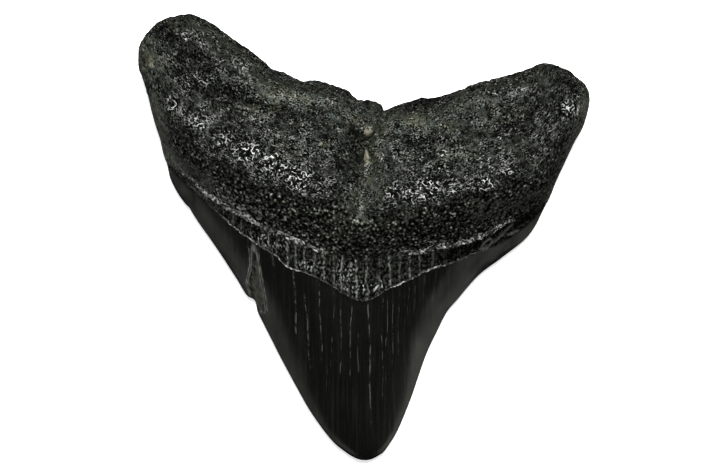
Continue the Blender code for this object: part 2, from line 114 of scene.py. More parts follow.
ENAMEL_EDGE = [  # where the bourlette ends and the crown's enamel begins
    (-37.5, 17.0), (-34.25, 13.8), (-32.75, 12.1), (-30.6, 10.0), (-27.9, 7.4), (-25.1, 5.0), (-21.9, 2.2),
    (-19.75, 0.5), (-17.25, -1.3), (-14.75, -2.7), (-12.6, -4.7), (-11.25, -5.3), (-8.9, -6.0),
    (-6.9, -7.0), (-4.75, -8.2), (-3.1, -9.2), (-0.9, -10.2), (0.75, -10.2), (2.4, -9.5), (4.1, -8.3),
    (6.9, -7.2), (10.25, -5.5), (14.75, -4.0), (19.4, -2.1), (21.4, -1.5), (23.6, -0.3), (26.1, 1.3),
    (28.6, 3.5), (30.6, 5.4), (32.3, 7.6), (34.5, 10.4), (37.5, 13.4),
]  # fmt: skip
LABIAL_ENAMEL_EDGE = [
    (-37.5, 15.5), (-33.5, 14.2), (-25.0, 12.4), (-12.0, 12.8), (0.0, 13.8), (12.0, 12.6), (24.0, 11.4),
    (33.0, 12.0), (37.5, 13.0),
]  # fmt: skip

# The crown's dome: its two flanks as (y, x), and how high it stands above its edges, by distance from the tip
LEFT_FLANK = [
    (-37.1, 0.1), (-36.2, -2.3), (-33.7, -5.4), (-29.7, -8.4), (-20.8, -13.4), (-12.7, -17.7), (-6.5, -21.5),
    (2.3, -27.4), (8.0, -31.0), (14.5, -34.5), (20.0, -37.5),
]  # fmt: skip
RIGHT_FLANK = [
    (-37.1, 0.1), (-36.9, 1.4), (-35.4, 3.6), (-32.2, 5.6), (-27.5, 7.6), (-19.0, 10.6), (-14.8, 12.6),
    (-10.3, 15.6), (-6.3, 19.1), (-3.5, 22.8), (-0.5, 26.6), (4.0, 29.7), (9.5, 32.3), (14.5, 34.6),
    (20.0, 37.5),
]  # fmt: skip
DOME_RISE = [
    (0.0, 0.0), (0.6, 0.8), (2.0, 1.6), (5.0, 2.6), (10.0, 3.9), (17.0, 5.6), (25.0, 7.3), (33.0, 8.6),
    (45.0, 9.7), (75.0, 10.4),
]  # fmt: skip
TIP_Y = -37.1
# How boxy the dome is across, by y: 2 is a parabola, and more is boxier
DOME_POWER = [(-37.1, 2.2), (-20.0, 2.2), (-12.0, 2.45), (-5.0, 2.75), (20.0, 2.8)]

# Edges, ledges and wear, in millimetres
CUTTING_EDGE_HEIGHT = 1.4
CUTTING_EDGE_ROUND = 0.5
LEAST_RISE = 0.05  # of the lingual face above its rim
LEAST_SPAN = 0.4  # between two lines, where they run together
ROOT_RIM_HEIGHT = 5.2
ROOT_RIM_ROUND = 3.6
BASAL_RIM_SHARE = 0.42  # how high the basal face still is at its rim, as a share of the shelf's height
SHOULDER_LEFT, SHOULDER_RIGHT = -36.2, 35.6  # x where the blade has turned into the lobes' thick rim
SHOULDER_BLEND = 4.0
BOURLETTE_STEP = 0.40  # above the enamel
BOURLETTE_RISE = 0.55  # from there to its top
ROOT_LIP = 0.30  # of the bone above the bourlette
LEDGE_BLEND = 0.35
BLADE_FADE = 3.0  # length over which the cutting edge turns blunt past the enamel
SWELL_POWER, SHELF_POWER = 1.7, 1.5  # how full the root's swelling is below its crest and above it

# Ridges (+) and hollows (-) drawn across the lingual face: half-width, height and path
RELIEF = {
    "nutrient groove": (
        0.55, -1.6, [(3.3, 21.4), (3.4, 19.8), (2.1, 17.3), (0.6, 15.8), (0.3, 14.5), (0.9, 13.2)],
    ),
    "mouth of the groove": (1.5, -0.6, [(0.6, 15.8), (0.5, 12.5)]),
    "valley below the groove": (3.4, -0.9, [(1.6, 17.5), (0.4, 12.0), (-0.4, 7.0), (-0.2, 1.5)]),
    "left ledge of the shelf": (0.9, 0.4, [(-21.0, 24.0), (-16.0, 22.3), (-9.0, 20.8), (-4.5, 19.6)]),
    "left crease under the shelf": (1.5, -0.8, [(-25.0, 23.6), (-19.0, 21.4), (-12.5, 19.6), (-3.0, 17.6)]),
    "left trough on the lobe's end": (1.4, -0.8, [(-34.2, 34.0), (-30.5, 32.0), (-26.5, 29.7)]),
    "left hollow on the lobe": (3.0, -0.5, [(-29.0, 26.0), (-22.0, 20.5), (-16.0, 16.5)]),
    "right ridge by the rim": (1.1, 0.5, [(18.5, 23.0), (22.8, 24.5), (26.0, 25.2), (30.3, 25.8)]),
    "right trough": (1.6, -0.8, [(15.0, 18.4), (20.0, 18.8), (24.0, 20.0), (28.0, 22.6), (31.5, 25.6)]),
    "right hollow by the groove": (1.8, -0.5, [(4.0, 16.6), (7.3, 15.8), (11.0, 15.2)]),
    "right middle ridge": (1.4, 0.4, [(13.0, 14.2), (20.0, 16.0), (26.0, 18.2), (32.0, 22.3), (35.5, 23.6)]),
    "right lower trough": (1.8, -0.4, [(10.0, 10.5), (18.0, 12.0), (24.0, 14.5), (29.0, 18.0)]),
    "left flank hollow": (2.2, -0.5, [(-33.5, 24.0), (-31.0, 19.0), (-27.0, 15.6)]),
}  # fmt: skip

# The flake scar that runs up from the chip in the left cutting edge: y, x of its left side and x of its right
SCAR = [
    (-12.4, -18.6, -16.1), (-10.2, -18.9, -16.3), (-9.0, -19.2, -16.5), (-7.5, -19.6, -16.8),
    (-5.0, -18.9, -17.1), (-2.0, -19.0, -17.4), (0.5, -18.9, -17.9),
]  # fmt: skip
SCAR_DEPTH = 0.30
SCAR_BANK = 0.42  # share of its width that each bank takes
SCAR_MOUTH, SCAR_FADE = 0.6, 9.0  # lengths over which it deepens at the chip and dies out upwards

# The labial face
LABIAL_FLAT_SINK = 0.20  # what is worn off to leave the flat middle
LABIAL_EDGE_STEP = 0.45  # of the bone behind the enamel
LABIAL_EDGE_RISE = 1.1
LABIAL_EDGE_POWER = 3
LABIAL_TIP_RISE, LABIAL_TIP_FROM = 0.5, -22.0  # towards the tip, from this y
LABIAL_LOBE_RISE, LABIAL_LOBE_FROM = 1.6, 12.0  # towards the lobes' ends, from this x
LABIAL_BLEND = 1.5

# Lumps of the root's bone
LUMP_SIZE, LUMP_HEIGHT = 4.2, 0.30
KNOB_SIZE, KNOB_HEIGHT = 1.9, 0.16

# Ribs down the bourlette: x, how plain it is
RIBS = [
    (-23.5, 0.1), (-21.6, 0.2), (-20.1, 0.35), (-18.6, 0.35), (-16.9, 0.35), (-15.6, 0.5), (-14.3, 0.45),
    (-12.6, 0.7), (-11.2, 0.6), (-9.7, 0.4), (-8.0, 0.4), (-6.6, 1.0), (-4.9, 0.3), (-3.6, 1.0),
    (-2.5, 0.4), (-1.25, 1.0), (0.5, 0.8), (2.5, 0.4), (4.35, 0.9), (5.9, 0.3), (7.5, 0.7), (9.3, 0.3),
    (11.3, 0.3), (13.4, 0.2), (16.0, 0.1),
]  # fmt: skip
RIB_REACH = (8.0, -14.0)  # the highest and the lowest y that a rib could reach

# Drying cracks in the enamel: x at the top, x at the bottom, y at the top, y at the bottom, how plain it is
CRACKS = [
    (-19.2, -19.0, 2.0, -4.0, 0.3), (-17.6, -17.4, 0.0, -6.0, 0.3), (-15.2, -15.0, -2.0, -6.5, 0.35),
    (-11.6, -11.0, -4.2, -16.5, 0.8), (-9.8, -8.8, -9.5, -21.7, 0.75), (-7.3, -6.9, -7.5, -20.5, 0.9),
    (-6.2, -6.2, -21.0, -26.0, 0.45), (-4.9, -5.4, -9.2, -21.7, 0.7), (-3.75, -3.8, -11.0, -23.0, 0.7),
    (-1.9, -2.4, -9.7, -24.0, 1.0), (-1.0, -0.8, -16.0, -22.5, 0.5), (0.8, 1.2, -10.5, -31.0, 1.0),
    (3.1, 3.2, -10.0, -27.5, 0.65), (3.9, 3.5, -10.5, -24.0, 0.8), (4.9, 4.7, -10.5, -21.0, 0.7),
    (5.75, 5.8, -9.0, -20.5, 0.5), (6.8, 6.5, -9.0, -17.5, 0.35), (7.6, 7.2, -6.8, -14.5, 0.35),
    (8.5, 8.2, -7.0, -12.5, 0.35), (10.2, 9.6, -6.0, -13.0, 0.25), (12.0, 11.4, -5.2, -11.0, 0.2),
]  # fmt: skip

# Spots of pale mineral in the bone: x, y, radius along x, radius along y, strength
MINERAL_SPOTS = [
    (0.7, 17.2, 1.0, 1.3, 0.9), (0.5, 13.3, 0.75, 1.5, 1.0), (0.0, 15.4, 0.8, 1.0, 0.5),
    (3.4, 14.2, 1.3, 0.7, 0.4), (-14.8, 23.2, 1.2, 0.6, 0.7), (-7.1, 15.3, 0.45, 0.45, 0.9),
    (-13.4, 15.3, 0.45, 0.45, 0.5), (-35.1, 28.7, 0.8, 1.1, 0.7), (-35.4, 31.6, 0.7, 1.2, 0.5),
    (11.6, 18.3, 5.5, 0.5, 0.5), (18.6, 25.3, 0.6, 0.6, 0.4), (20.8, 17.3, 0.6, 0.5, 0.5),
    (13.8, 15.0, 1.0, 0.7, 0.5), (19.0, 11.3, 1.0, 0.8, 0.45), (2.8, 15.6, 0.9, 1.2, 0.45),
    (-9.2, 17.9, 1.0, 0.5, 0.5), (-0.8, 18.9, 0.7, 0.6, 0.5), (-14.0, 19.4, 0.8, 0.4, 0.4),
]  # fmt: skip
# Broad patches of grey-green staining: the same as the spots
STAIN_PATCHES = [
    (-12.0, 22.5, 7.0, 2.4, 0.9), (-4.0, 20.5, 5.0, 2.5, 0.8), (8.0, 18.5, 7.0, 2.4, 0.65),
    (20.0, 21.5, 8.0, 2.4, 0.7), (1.0, 8.0, 3.2, 4.5, 0.5), (-34.5, 29.0, 1.8, 4.5, 0.8),
    (14.0, 13.5, 7.0, 3.0, 0.5), (-15.0, 14.0, 9.0, 3.0, 0.4),
]  # fmt: skip

# Bands of painted light and shade: above nought they paint bone and bourlette paler, as light falling on
# them,
# and make the enamel glossier; below nought they paint them darker, as shade, and make the enamel duller:
# from x, y to x, y, radius, strength
LIGHT_AND_SHADE_BANDS = [
    # painted light, from left to right
    (-36.2, 32.0, -35.8, 26.5, 1.5, 0.32), (-35.6, 26.5, -33.8, 17.0, 1.4, 0.12),
    (-33.6, 14.5, -30.0, 9.5, 1.5, 0.20), (-32.5, 29.5, -32.0, 25.5, 1.2, 0.14),
    (-30.6, 35.1, -23.4, 32.3, 1.8, 0.14), (-29.6, 8.4, -24.5, 6.0, 1.4, 0.34),
    (-29.0, 22.8, -20.0, 21.2, 2.4, 0.07), (-29.0, 8.0, -22.0, -2.5, 1.2, 0.14),
    (-26.2, 18.2, -25.0, 17.4, 1.2, 0.12), (-26.0, 9.4, -21.5, 6.4, 1.2, 0.12),
    (-24.0, 6.8, -18.0, 3.9, 1.3, 0.40), (-22.2, 30.0, -18.9, 26.7, 1.7, 0.18),
    (-21.0, 20.6, -8.0, 19.8, 2.2, 0.07), (-18.9, 26.7, -14.5, 23.8, 1.8, 0.34),
    (-18.0, 3.9, -14.5, 2.2, 1.3, 0.24), (-16.7, 17.3, -10.0, 13.4, 2.6, 0.10),
    (-14.5, 23.8, -5.6, 22.3, 1.5, 0.19), (-14.5, 1.8, -8.0, -1.2, 1.1, 0.2),
    (-6.4, 13.0, -6.0, 11.0, 1.6, 0.10), (-6.0, 19.0, -1.5, 19.8, 1.5, 0.22),
    (-5.6, 22.3, 0.0, 20.1, 1.5, 0.16), (-5.6, 17.4, -3.4, 18.2, 1.2, 0.14),
    (-2.5, 2.0, -5.5, -1.5, 2.5, 0.12), (-2.4, 5.4, -2.0, 4.6, 1.3, 0.36),
    (-2.2, 13.0, -2.2, 11.0, 1.0, 0.12), (-1.1, 7.0, -0.9, 4.0, 2.3, 0.36),
    (2.2, 19.5, 1.8, 8.4, 2.0, 0.33), (4.0, 12.8, 6.4, 11.5, 1.3, 0.12), (4.5, 18.6, 12.2, 20.1, 1.9, 0.25),
    (7.0, 5.4, 9.0, 5.0, 1.2, 0.12), (8.4, -18.0, 3.4, -33.0, 2.2, 0.5),
    (12.2, 20.1, 19.4, 23.4, 1.9, 0.19), (14.5, 18.5, 21.0, 19.5, 1.5, 0.12),
    (16.0, 14.0, 21.0, 13.0, 2.4, 0.12), (19.4, 23.4, 30.0, 25.8, 1.7, 0.20),
    (23.0, 15.0, 26.0, 16.0, 1.6, 0.14), (26.6, 14.5, 36.1, 21.7, 2.2, 0.09),
    # painted shade, from left to right
    (-33.4, 34.5, -30.0, 30.6, 1.5, -0.24), (-32.8, 31.0, -31.6, 29.6, 1.2, -0.14),
    (-32.6, 10.5, -22.5, -5.0, 1.3, -0.22), (-31.0, 26.6, -27.0, 24.6, 1.3, -0.14),
    (-30.0, 30.6, -26.6, 28.8, 1.5, -0.14), (-26.0, 23.0, -25.2, 22.6, 1.2, -0.12),
    (-25.8, 0.6, -22.0, -2.4, 1.2, -0.10), (-24.1, 25.2, -21.1, 24.5, 1.0, -0.12),
    (-22.4, 18.0, -18.8, 15.4, 1.2, -0.12), (-21.1, 24.5, -13.9, 20.6, 1.0, -0.12),
    (-19.6, 3.2, -18.0, 2.4, 0.9, -0.20), (-16.2, 17.6, -15.0, 18.0, 1.2, -0.14),
    (-13.9, 20.6, -6.1, 18.9, 1.2, -0.07), (-6.2, 3.0, -5.0, 2.6, 1.2, -0.10),
    (-6.0, 20.2, -5.2, 20.4, 1.2, -0.14), (-5.8, 7.8, -3.0, 7.8, 1.2, -0.14),
    (-1.8, 17.6, -1.7, 9.5, 0.9, -0.16), (6.5, 15.6, 11.0, 16.2, 1.2, -0.08),
    (8.9, 22.6, 13.5, 23.4, 1.3, -0.42), (10.9, 5.6, 11.3, 2.6, 1.4, -0.12),
    (12.0, 2.0, 28.0, 7.0, 2.6, -0.10), (13.5, -7.5, 25.0, -0.5, 3.2, -0.15),
    (14.0, -2.8, 30.0, 5.0, 1.6, -0.25), (20.4, 10.4, 21.8, 10.0, 1.2, -0.12),
    (22.2, 17.3, 32.2, 23.4, 1.0, -0.16), (27.0, 25.0, 28.4, 25.6, 1.2, -0.16),
    (30.4, 18.2, 31.8, 17.4, 1.2, -0.10), (30.5, 28.0, 35.0, 25.0, 1.4, -0.12),
    (35.5, 18.5, 29.5, 6.5, 1.6, -0.14),
]  # fmt: skip

# Fine pale marks on the enamel and the bourlette: the same as the bands
MARKS = [
    (-19.0, -1.7, -18.9, -4.5, 0.16, 0.9), (-18.9, -4.5, -19.6, -7.6, 0.16, 1.0),
    (-19.6, -7.6, -18.9, -9.8, 0.16, 0.8), (-17.4, -2.4, -17.1, -5.0, 0.16, 0.7),
    (-17.1, -5.0, -16.2, -10.2, 0.16, 0.9), (-16.2, -10.2, -16.0, -12.2, 0.16, 0.8),
    (-18.6, -4.4, -17.3, -5.2, 0.2, 0.6), (-17.4, -12.2, -17.0, -12.3, 0.25, 1.0),
    (19.3, -1.9, 20.6, -1.6, 0.2, 0.9), (20.6, -1.6, 21.4, -0.6, 0.16, 0.6),
    (21.4, -0.6, 20.9, -0.1, 0.16, 0.5), (19.4, -1.8, 19.9, -0.9, 0.16, 0.5),
    (19.9, -0.9, 20.9, -0.1, 0.16, 0.6), (24.0, 0.5, 25.6, 1.2, 0.18, 0.6),
    (-10.4, -23.4, -8.8, -25.4, 0.5, 0.25), (21.5, -0.9, 24.6, 2.2, 0.2, 0.35),
]  # fmt: skip

# Places of the bone and the bourlette rubbed glossy, where glints are painted on too and the ground between
# them on the bone is painted darker: the same as the spots
POLISHED_AND_GLINTING = [
    (-31.4, 22.0, 1.8, 2.0, 0.6), (-27.3, 18.9, 2.6, 1.8, 0.6), (-23.2, 16.0, 2.8, 2.0, 0.55),
    (-19.0, 14.2, 2.8, 2.0, 0.9), (-14.8, 12.0, 2.8, 2.2, 0.9), (-10.6, 9.7, 2.6, 2.4, 0.85),
    (-6.6, 8.8, 2.2, 2.0, 0.45), (-3.2, 8.0, 1.4, 2.4, 0.3), (4.2, 6.6, 1.8, 2.0, 0.6),
    (7.3, 7.3, 2.2, 2.4, 0.5), (10.4, 8.0, 2.4, 2.2, 0.85), (14.6, 8.0, 2.6, 2.0, 0.48),
    (19.4, 9.0, 2.8, 1.5, 0.75), (23.8, 11.0, 2.4, 1.3, 0.5), (-20.2, 28.6, 2.6, 2.0, 0.35),
    (-6.0, 22.4, 3.2, 1.2, 0.35), (-11.5, 23.2, 4.5, 1.6, 0.3), (33.8, 21.2, 2.4, 2.4, 0.6),
    (-27.0, 25.6, 2.0, 1.2, 0.5), (27.0, 24.2, 3.0, 0.8, 0.5), (-29.5, 33.4, 1.6, 1.0, 0.4),
    (12.6, 13.9, 1.6, 0.8, 0.6), (-17.0, 19.2, 3.0, 0.8, 0.3), (-16.0, -0.4, 5.0, 1.3, 0.4),
    (-3.0, -5.8, 1.4, 1.6, 0.7), (-1.2, -8.0, 2.0, 0.8, 1.0), (2.2, -8.0, 1.4, 0.7, 0.8),
    (-9.0, -4.6, 1.6, 0.8, 0.6), (20.0, 12.9, 2.2, 0.6, 0.55), (30.0, 14.4, 1.2, 0.9, 0.4),
    (31.3, 17.6, 2.2, 1.8, 0.4), (20.8, 24.0, 2.4, 0.7, 0.5), (35.4, 23.6, 1.2, 1.0, 0.5),
    (24.6, 17.6, 2.2, 0.7, 0.5),
]  # fmt: skip
# Bands where the bone is rubbed smooth: the same as the bands above
RUBBED_BANDS = [
    (-34.6, 17.0, -30.0, 10.8, 2.0, 0.98), (-30.0, 12.0, -25.5, 9.4, 1.8, 0.7),
    (18.5, 3.5, 28.5, 7.0, 2.4, 0.56),
]  # fmt: skip

# How plain the root's crumbling rim is along the tooth: x, share
ROOT_EDGE_SHOWS = [
    (-37.0, 0.0), (-33.0, 0.2), (-30.0, 0.8), (-24.0, 1.0), (-14.0, 1.0), (-8.0, 0.9), (-5.5, 0.15),
    (0.0, 0.05), (5.5, 0.15), (7.5, 0.9), (10.8, 1.0), (11.7, 0.3), (12.6, 1.0), (14.0, 0.9), (14.6, 0.3),
    (15.4, 1.0), (17.6, 1.0), (18.4, 0.1), (19.2, 0.9), (20.2, 0.8), (20.9, 0.1), (21.7, 1.0), (24.4, 1.0),
    (25.2, 0.1), (33.0, 0.1), (37.0, 0.0),
]  # fmt: skip
# Where glints are painted on the crumbling rims along the bourlette: the same as the spots
GLINTING_EDGES = [
    (-25.5, 7.4, 4.6, 2.4, 1.0), (-18.6, 2.9, 3.0, 1.4, 1.0), (-12.0, 0.0, 3.2, 1.4, 1.0),
    (-7.5, -1.9, 2.0, 1.2, 0.9), (8.6, -2.4, 2.6, 1.0, 1.0), (12.8, -1.2, 2.2, 1.0, 0.9),
    (18.0, 0.1, 2.6, 1.0, 0.9), (23.0, 2.0, 2.6, 1.4, 0.8), (29.5, 5.2, 2.0, 0.9, 0.4),
    (-13.0, -4.2, 3.0, 1.4, 0.8), (6.0, -7.6, 2.0, 1.0, 0.7), (-19.0, 0.0, 3.0, 1.4, 0.7),
    (-8.6, -6.0, 2.0, 1.0, 0.45), (11.5, -5.2, 2.5, 0.9, 0.5),
]  # fmt: skip


def srgb(code):
    """Linear red, green, blue and alpha from a hex sRGB colour."""
    parts = [int(code[i : i + 2], 16) / 255 for i in (1, 3, 5)]
    return tuple(c / 12.92 if c <= 0.04045 else ((c + 0.055) / 1.055) ** 2.4 for c in parts) + (1.0,)


def colour_setting(name, about, code):
    """A colour that a user may change, from its hex sRGB colour."""
    return FloatVectorProperty(name=name, description=about, subtype="COLOR", size=4, default=srgb(code))


def length_setting(name, about, size):
    """A fine length that a user may change, from its size in millimetres."""
    return FloatProperty(name=name, description=about, default=size * MM, unit="LENGTH", precision=5)


class ToothShape(bpy.types.PropertyGroup):
    """How finely the tooth is meshed and how deep its surface relief is."""

    stations: IntProperty(name="Stations", description="Sections across the tooth", default=400, min=60)
    lingual_rows: IntProperty(name="Lingual rows", description="Points up the dome", default=185, min=30)
    labial_rows: IntProperty(name="Labial rows", description="Points down the flat side", default=60, min=12)
    pore_size: length_setting("Pore spacing", "Between pores of the bone", 0.86)
    pore_depth: length_setting("Pore depth", "Of a pore in the bone", 0.24)
    rib_height: length_setting("Rib height", "Of a rib of the bourlette", 0.24)


class ToothFinish(bpy.types.PropertyGroup):
    """The colours of the fossil's three tissues and of what has settled in them, with the shade painted into
    its pores and the glints painted on it.
    """

    bone: colour_setting("Bone", "Root bone", "#1B1D17")
    # near black painted into the pores and low places of the bone and the bourlette, as their shade
    shaded_pit: colour_setting("Pit", "Inside the bone's pores", "#040404")
    worn: colour_setting("Worn", "Rubbed tops of the bone", "#54574A")
    # a pale colour painted for glints on glossy places and crumbling edges, and used too for real pale marks
    # and the scar's lip
    glint_and_pale_mark: colour_setting("Polished", "High spots rubbed to a polish", "#BEC0BA")
    dentine: colour_setting("Dentine", "Laid bare in the scar", "#34352B")
    stain: colour_setting("Stain", "Cool grey-green staining", "#39413B")
    olive: colour_setting("Olive", "Warmer staining", "#414231")
    mineral: colour_setting("Mineral", "Pale mineral in pores", "#6A6858")
    enamel: colour_setting("Enamel", "Crown enamel", "#070707")
    crack: colour_setting("Crack", "Infill of the enamel's cracks", "#424340")


class StageSettings(bpy.types.PropertyGroup):
    """The table, the lights and the camera."""

    floor: colour_setting("Floor", "Light table", "#F4F4F4")
    floor_glow: FloatProperty(name="Floor glow", description="Light through the table's top", default=0.85)
    key: FloatProperty(name="Key light", description="Radiance of the softbox above the root", default=85.0)
    overhead: FloatProperty(name="Overhead", description="Radiance of the panel past the root", default=1.2)
    right_fill: FloatProperty(name="Right fill", description="Radiance of the right panel", default=0.42)
    left_fill: FloatProperty(name="Left fill", description="Radiance of the left panel", default=0.3)
    room: FloatProperty(name="Room", description="Radiance of the dim room", default=0.03)
    camera_height: FloatProperty(
        name="Camera height", description="Above the table", default=0.8, unit="LENGTH"
    )


def curve_through(points, steps=10, closed=False):
    """A smooth curve that passes through the points, as an array of many."""
    p = np.array(points, float)
    if closed:
        p = np.vstack([p[-1], p, p[0], p[1]])
    else:
        p = np.vstack([2 * p[0] - p[1], p, 2 * p[-1] - p[-2]])
    t = np.linspace(0, 1, steps, endpoint=False)[:, None]
    spans = []
    for a, b, c, d in zip(p, p[1:], p[2:], p[3:]):
        spans.append(b + 0.5 * t * (c - a + t * (2 * a - 5 * b + 4 * c - d + t * (3 * (b - c) + d - a))))
    if not closed:
        spans.append(p[-2:-1])
    return np.vstack(spans)


def line_value(points, at, column=1):
    """The curve's value in a column, read where its first column is at."""
    curve = curve_through(points)
    order = np.argsort(curve[:, 0], kind="stable")
    return np.interp(at, curve[order, 0], curve[order, column])


def distance_to(path, x, y):
    """Distance in plan from each point to the nearest place on a path."""
    best = np.full(x.shape, np.inf)
    for start, end in zip(path[:-1], path[1:]):
        run = end - start
        t = np.clip(((x - start[0]) * run[0] + (y - start[1]) * run[1]) / max(run @ run, TINY), 0, 1)
        best = np.minimum(best, np.hypot(x - start[0] - t * run[0], y - start[1] - t * run[1]))
    return best


def ease(t):
    """Turns 0 to 1 into a smooth step."""
    t = np.clip(t, 0, 1)
    return t * t * (3 - 2 * t)


def quarter_round(distance, radius):
    """Rises from 0 at an edge to 1 at the radius, as a quarter of a circle does."""
    t = np.clip(distance / radius, 0, 1)
    return np.sqrt(1 - (1 - t) ** 2)


NOISE_SPAN = 1.6  # brings plain noise to between about -1 and 1


def bumps(x, y, z, size):
    """Smooth noise between about -1 and 1, with features of that size."""
    at = np.stack([x, y, z], -1).reshape(-1, 3) / size
    return np.array([noise.noise(Vector(p)) for p in at]).reshape(x.shape) * NOISE_SPAN


def cells(x, y, z, size):
    """Distance to the nearest of scattered points, in units of their spacing."""
    at = np.stack([x, y, z], -1).reshape(-1, 3) / size
    return np.array([noise.voronoi(Vector(p))[0][0] for p in at]).reshape(x.shape)


def plan_outline():
    """The closed outline, and its upper and lower halves from left to right."""
    outline = curve_through(UPPER_OUTLINE + LOWER_OUTLINE, steps=6, closed=True)
    left, right = np.argmin(outline[:, 0]), np.argmax(outline[:, 0])
    turned = np.roll(outline, -left, axis=0)
    right = (right - left) % len(outline)
    upper, lower = turned[: right + 1], np.vstack([turned[right:], turned[:1]])[::-1]
    return np.vstack([turned, turned[:1]]), upper, lower


END_CROWDING = 0.3  # 0 spaces the stations evenly, 1 crowds them at the lobes' ends
CROWN_ROWS, BOURLETTE_ROWS = 0.24, 0.15  # shares of the lingual rows
LABIAL_CROWN_ROWS = 0.55  # share of the labial rows
RIM_CROWDING = 0.25  # how strongly the rows crowd towards the rims
LEAST_SHARE = 0.06  # of a section, that any of its stretches keeps


def stations(upper, count):
    """Where the sections stand across the tooth."""
    t = np.linspace(-1, 1, count + 2)[1:-1]
    spread = (1 - END_CROWDING) * t + END_CROWDING * np.sin(t * math.pi / 2)
    left, right = upper[0, 0], upper[-1, 0]
    return (left + right) / 2 + spread * (right - left) / 2


def rows_between(low, high, knots, levels, count):
    """Points of each section from its low rim to its high one, with whole rows along the levels between."""
    v = np.linspace(0, 1, count)
    crowded = (1 - np.cos(v * math.pi)) / 2
    v = v + RIM_CROWDING * (crowded - v)
    shares = [np.zeros_like(low)]
    for level in levels:
        share = np.clip((level - low) / (high - low), shares[-1] + LEAST_SHARE, None)
        shares.append(np.minimum(share, 1 - LEAST_SHARE * (len(levels) + 1 - len(shares))))
    shares = np.stack(shares + [np.ones_like(low)], 1)
    rows = np.array([np.interp(v, knots, share) for share in shares])
    return low[:, None] + rows * (high - low)[:, None]


def lower_rim(x):
    """How high the lower rim stands, and how far it is a blade: 1 along the crown, 0 on the root's lobes."""
    blade = ease((x - SHOULDER_LEFT) / SHOULDER_BLEND) * ease((SHOULDER_RIGHT - x) / SHOULDER_BLEND)
    return ROOT_RIM_HEIGHT + (CUTTING_EDGE_HEIGHT - ROOT_RIM_HEIGHT) * blade, blade


def rim_height(x, y, low, high):
    """How high the rim stands, where the two faces meet, carried inwards over the faces."""
    edge, blade = lower_rim(x)
    up = ease((y - low) / np.maximum(high - low, TINY))
    return edge + (ROOT_RIM_HEIGHT - edge) * up, blade


def across_crown(x, y):
    """0 along the middle of the crown and 1 at its cutting edges."""
    left, right = line_value(LEFT_FLANK, y), line_value(RIGHT_FLANK, y)
    return np.clip(np.abs(2 * x - left - right) / np.maximum(right - left, TINY), 0, 1)


def crown_dome(x, y):
    """Height of the crown's dome above its cutting edges."""
    return line_value(DOME_RISE, y - TIP_Y) * (1 - across_crown(x, y) ** line_value(DOME_POWER, y))


def relief(x, y):
    """The ridges and hollows of the lingual face, added up."""
    height = np.zeros(x.shape)
    for half_width, rise, path in RELIEF.values():
        away = distance_to(curve_through(path, 4), x, y)
        height += rise * np.exp(-((away / half_width) ** 2))
    return height


def scar_hollow(x, y):
    """How deep the flake scar is: 0 at its sides and its upper end, 1 along its middle near the chip."""
    left, right = line_value(SCAR, y), line_value(SCAR, y, 2)
    inside = np.minimum(x - left, right - x) / np.maximum(right - left, TINY)
    mouth = ease((y - SCAR[0][0]) / SCAR_MOUTH + 0.5)
    return ease(inside / SCAR_BANK) * mouth * ease((SCAR[-1][0] - y) / SCAR_FADE)


def lingual_height(x, y, low, high, outline):
    """Height of the domed face that looks up."""
    rim, blade = rim_height(x, y, low, high)
    enamel, root = line_value(ENAMEL_EDGE, x), line_value(ROOT_EDGE, x)
    up_band = np.clip((y - enamel) / np.maximum(root - enamel, LEAST_SPAN), 0, 1)
    band = ease((y - enamel) / LEDGE_BLEND) * (BOURLETTE_STEP + BOURLETTE_RISE * up_band**2)
    edge, _ = lower_rim(x)
    crown = edge + crown_dome(x, y) + band

    foot = edge + crown_dome(x, root) + BOURLETTE_STEP + BOURLETTE_RISE + ROOT_LIP
    crest, crest_y = line_value(CREST_LINE, x, 2), line_value(CREST_LINE, x)
    shelf, shelf_y = line_value(SHELF_LINE, x, 2), line_value(SHELF_LINE, x)
    basal = ROOT_RIM_HEIGHT + BASAL_RIM_SHARE * (shelf - ROOT_RIM_HEIGHT)
    to_crest = np.clip((y - root) / np.maximum(crest_y - root, LEAST_SPAN), 0, 1)
    to_shelf = np.clip((y - crest_y) / np.maximum(shelf_y - crest_y, LEAST_SPAN), 0, 1)
    to_rim = np.clip((y - shelf_y) / np.maximum(high - shelf_y, LEAST_SPAN), 0, 1)
    swelling = foot + (crest - foot) * (1 - (1 - to_crest) ** SWELL_POWER)
    swelling += (shelf - crest) * to_shelf**SHELF_POWER + (basal - shelf) * (to_rim + to_rim**2) / 2
    lumps = LUMP_HEIGHT * bumps(x, y, swelling, LUMP_SIZE)
    swelling += lumps + KNOB_HEIGHT * bumps(x, y, swelling, KNOB_SIZE)
    height = crown + (swelling + relief(x, y) - crown) * ease((y - root) / LEDGE_BLEND)

    height -= SCAR_DEPTH * scar_hollow(x, y)

    from_rim = distance_to(outline, x, y)
    sharp = blade * (1 - ease((y - enamel) / BLADE_FADE))
    reach = ROOT_RIM_ROUND + (CUTTING_EDGE_ROUND - ROOT_RIM_ROUND) * sharp
    return rim + np.maximum(height - rim, LEAST_RISE) * quarter_round(from_rim, reach)


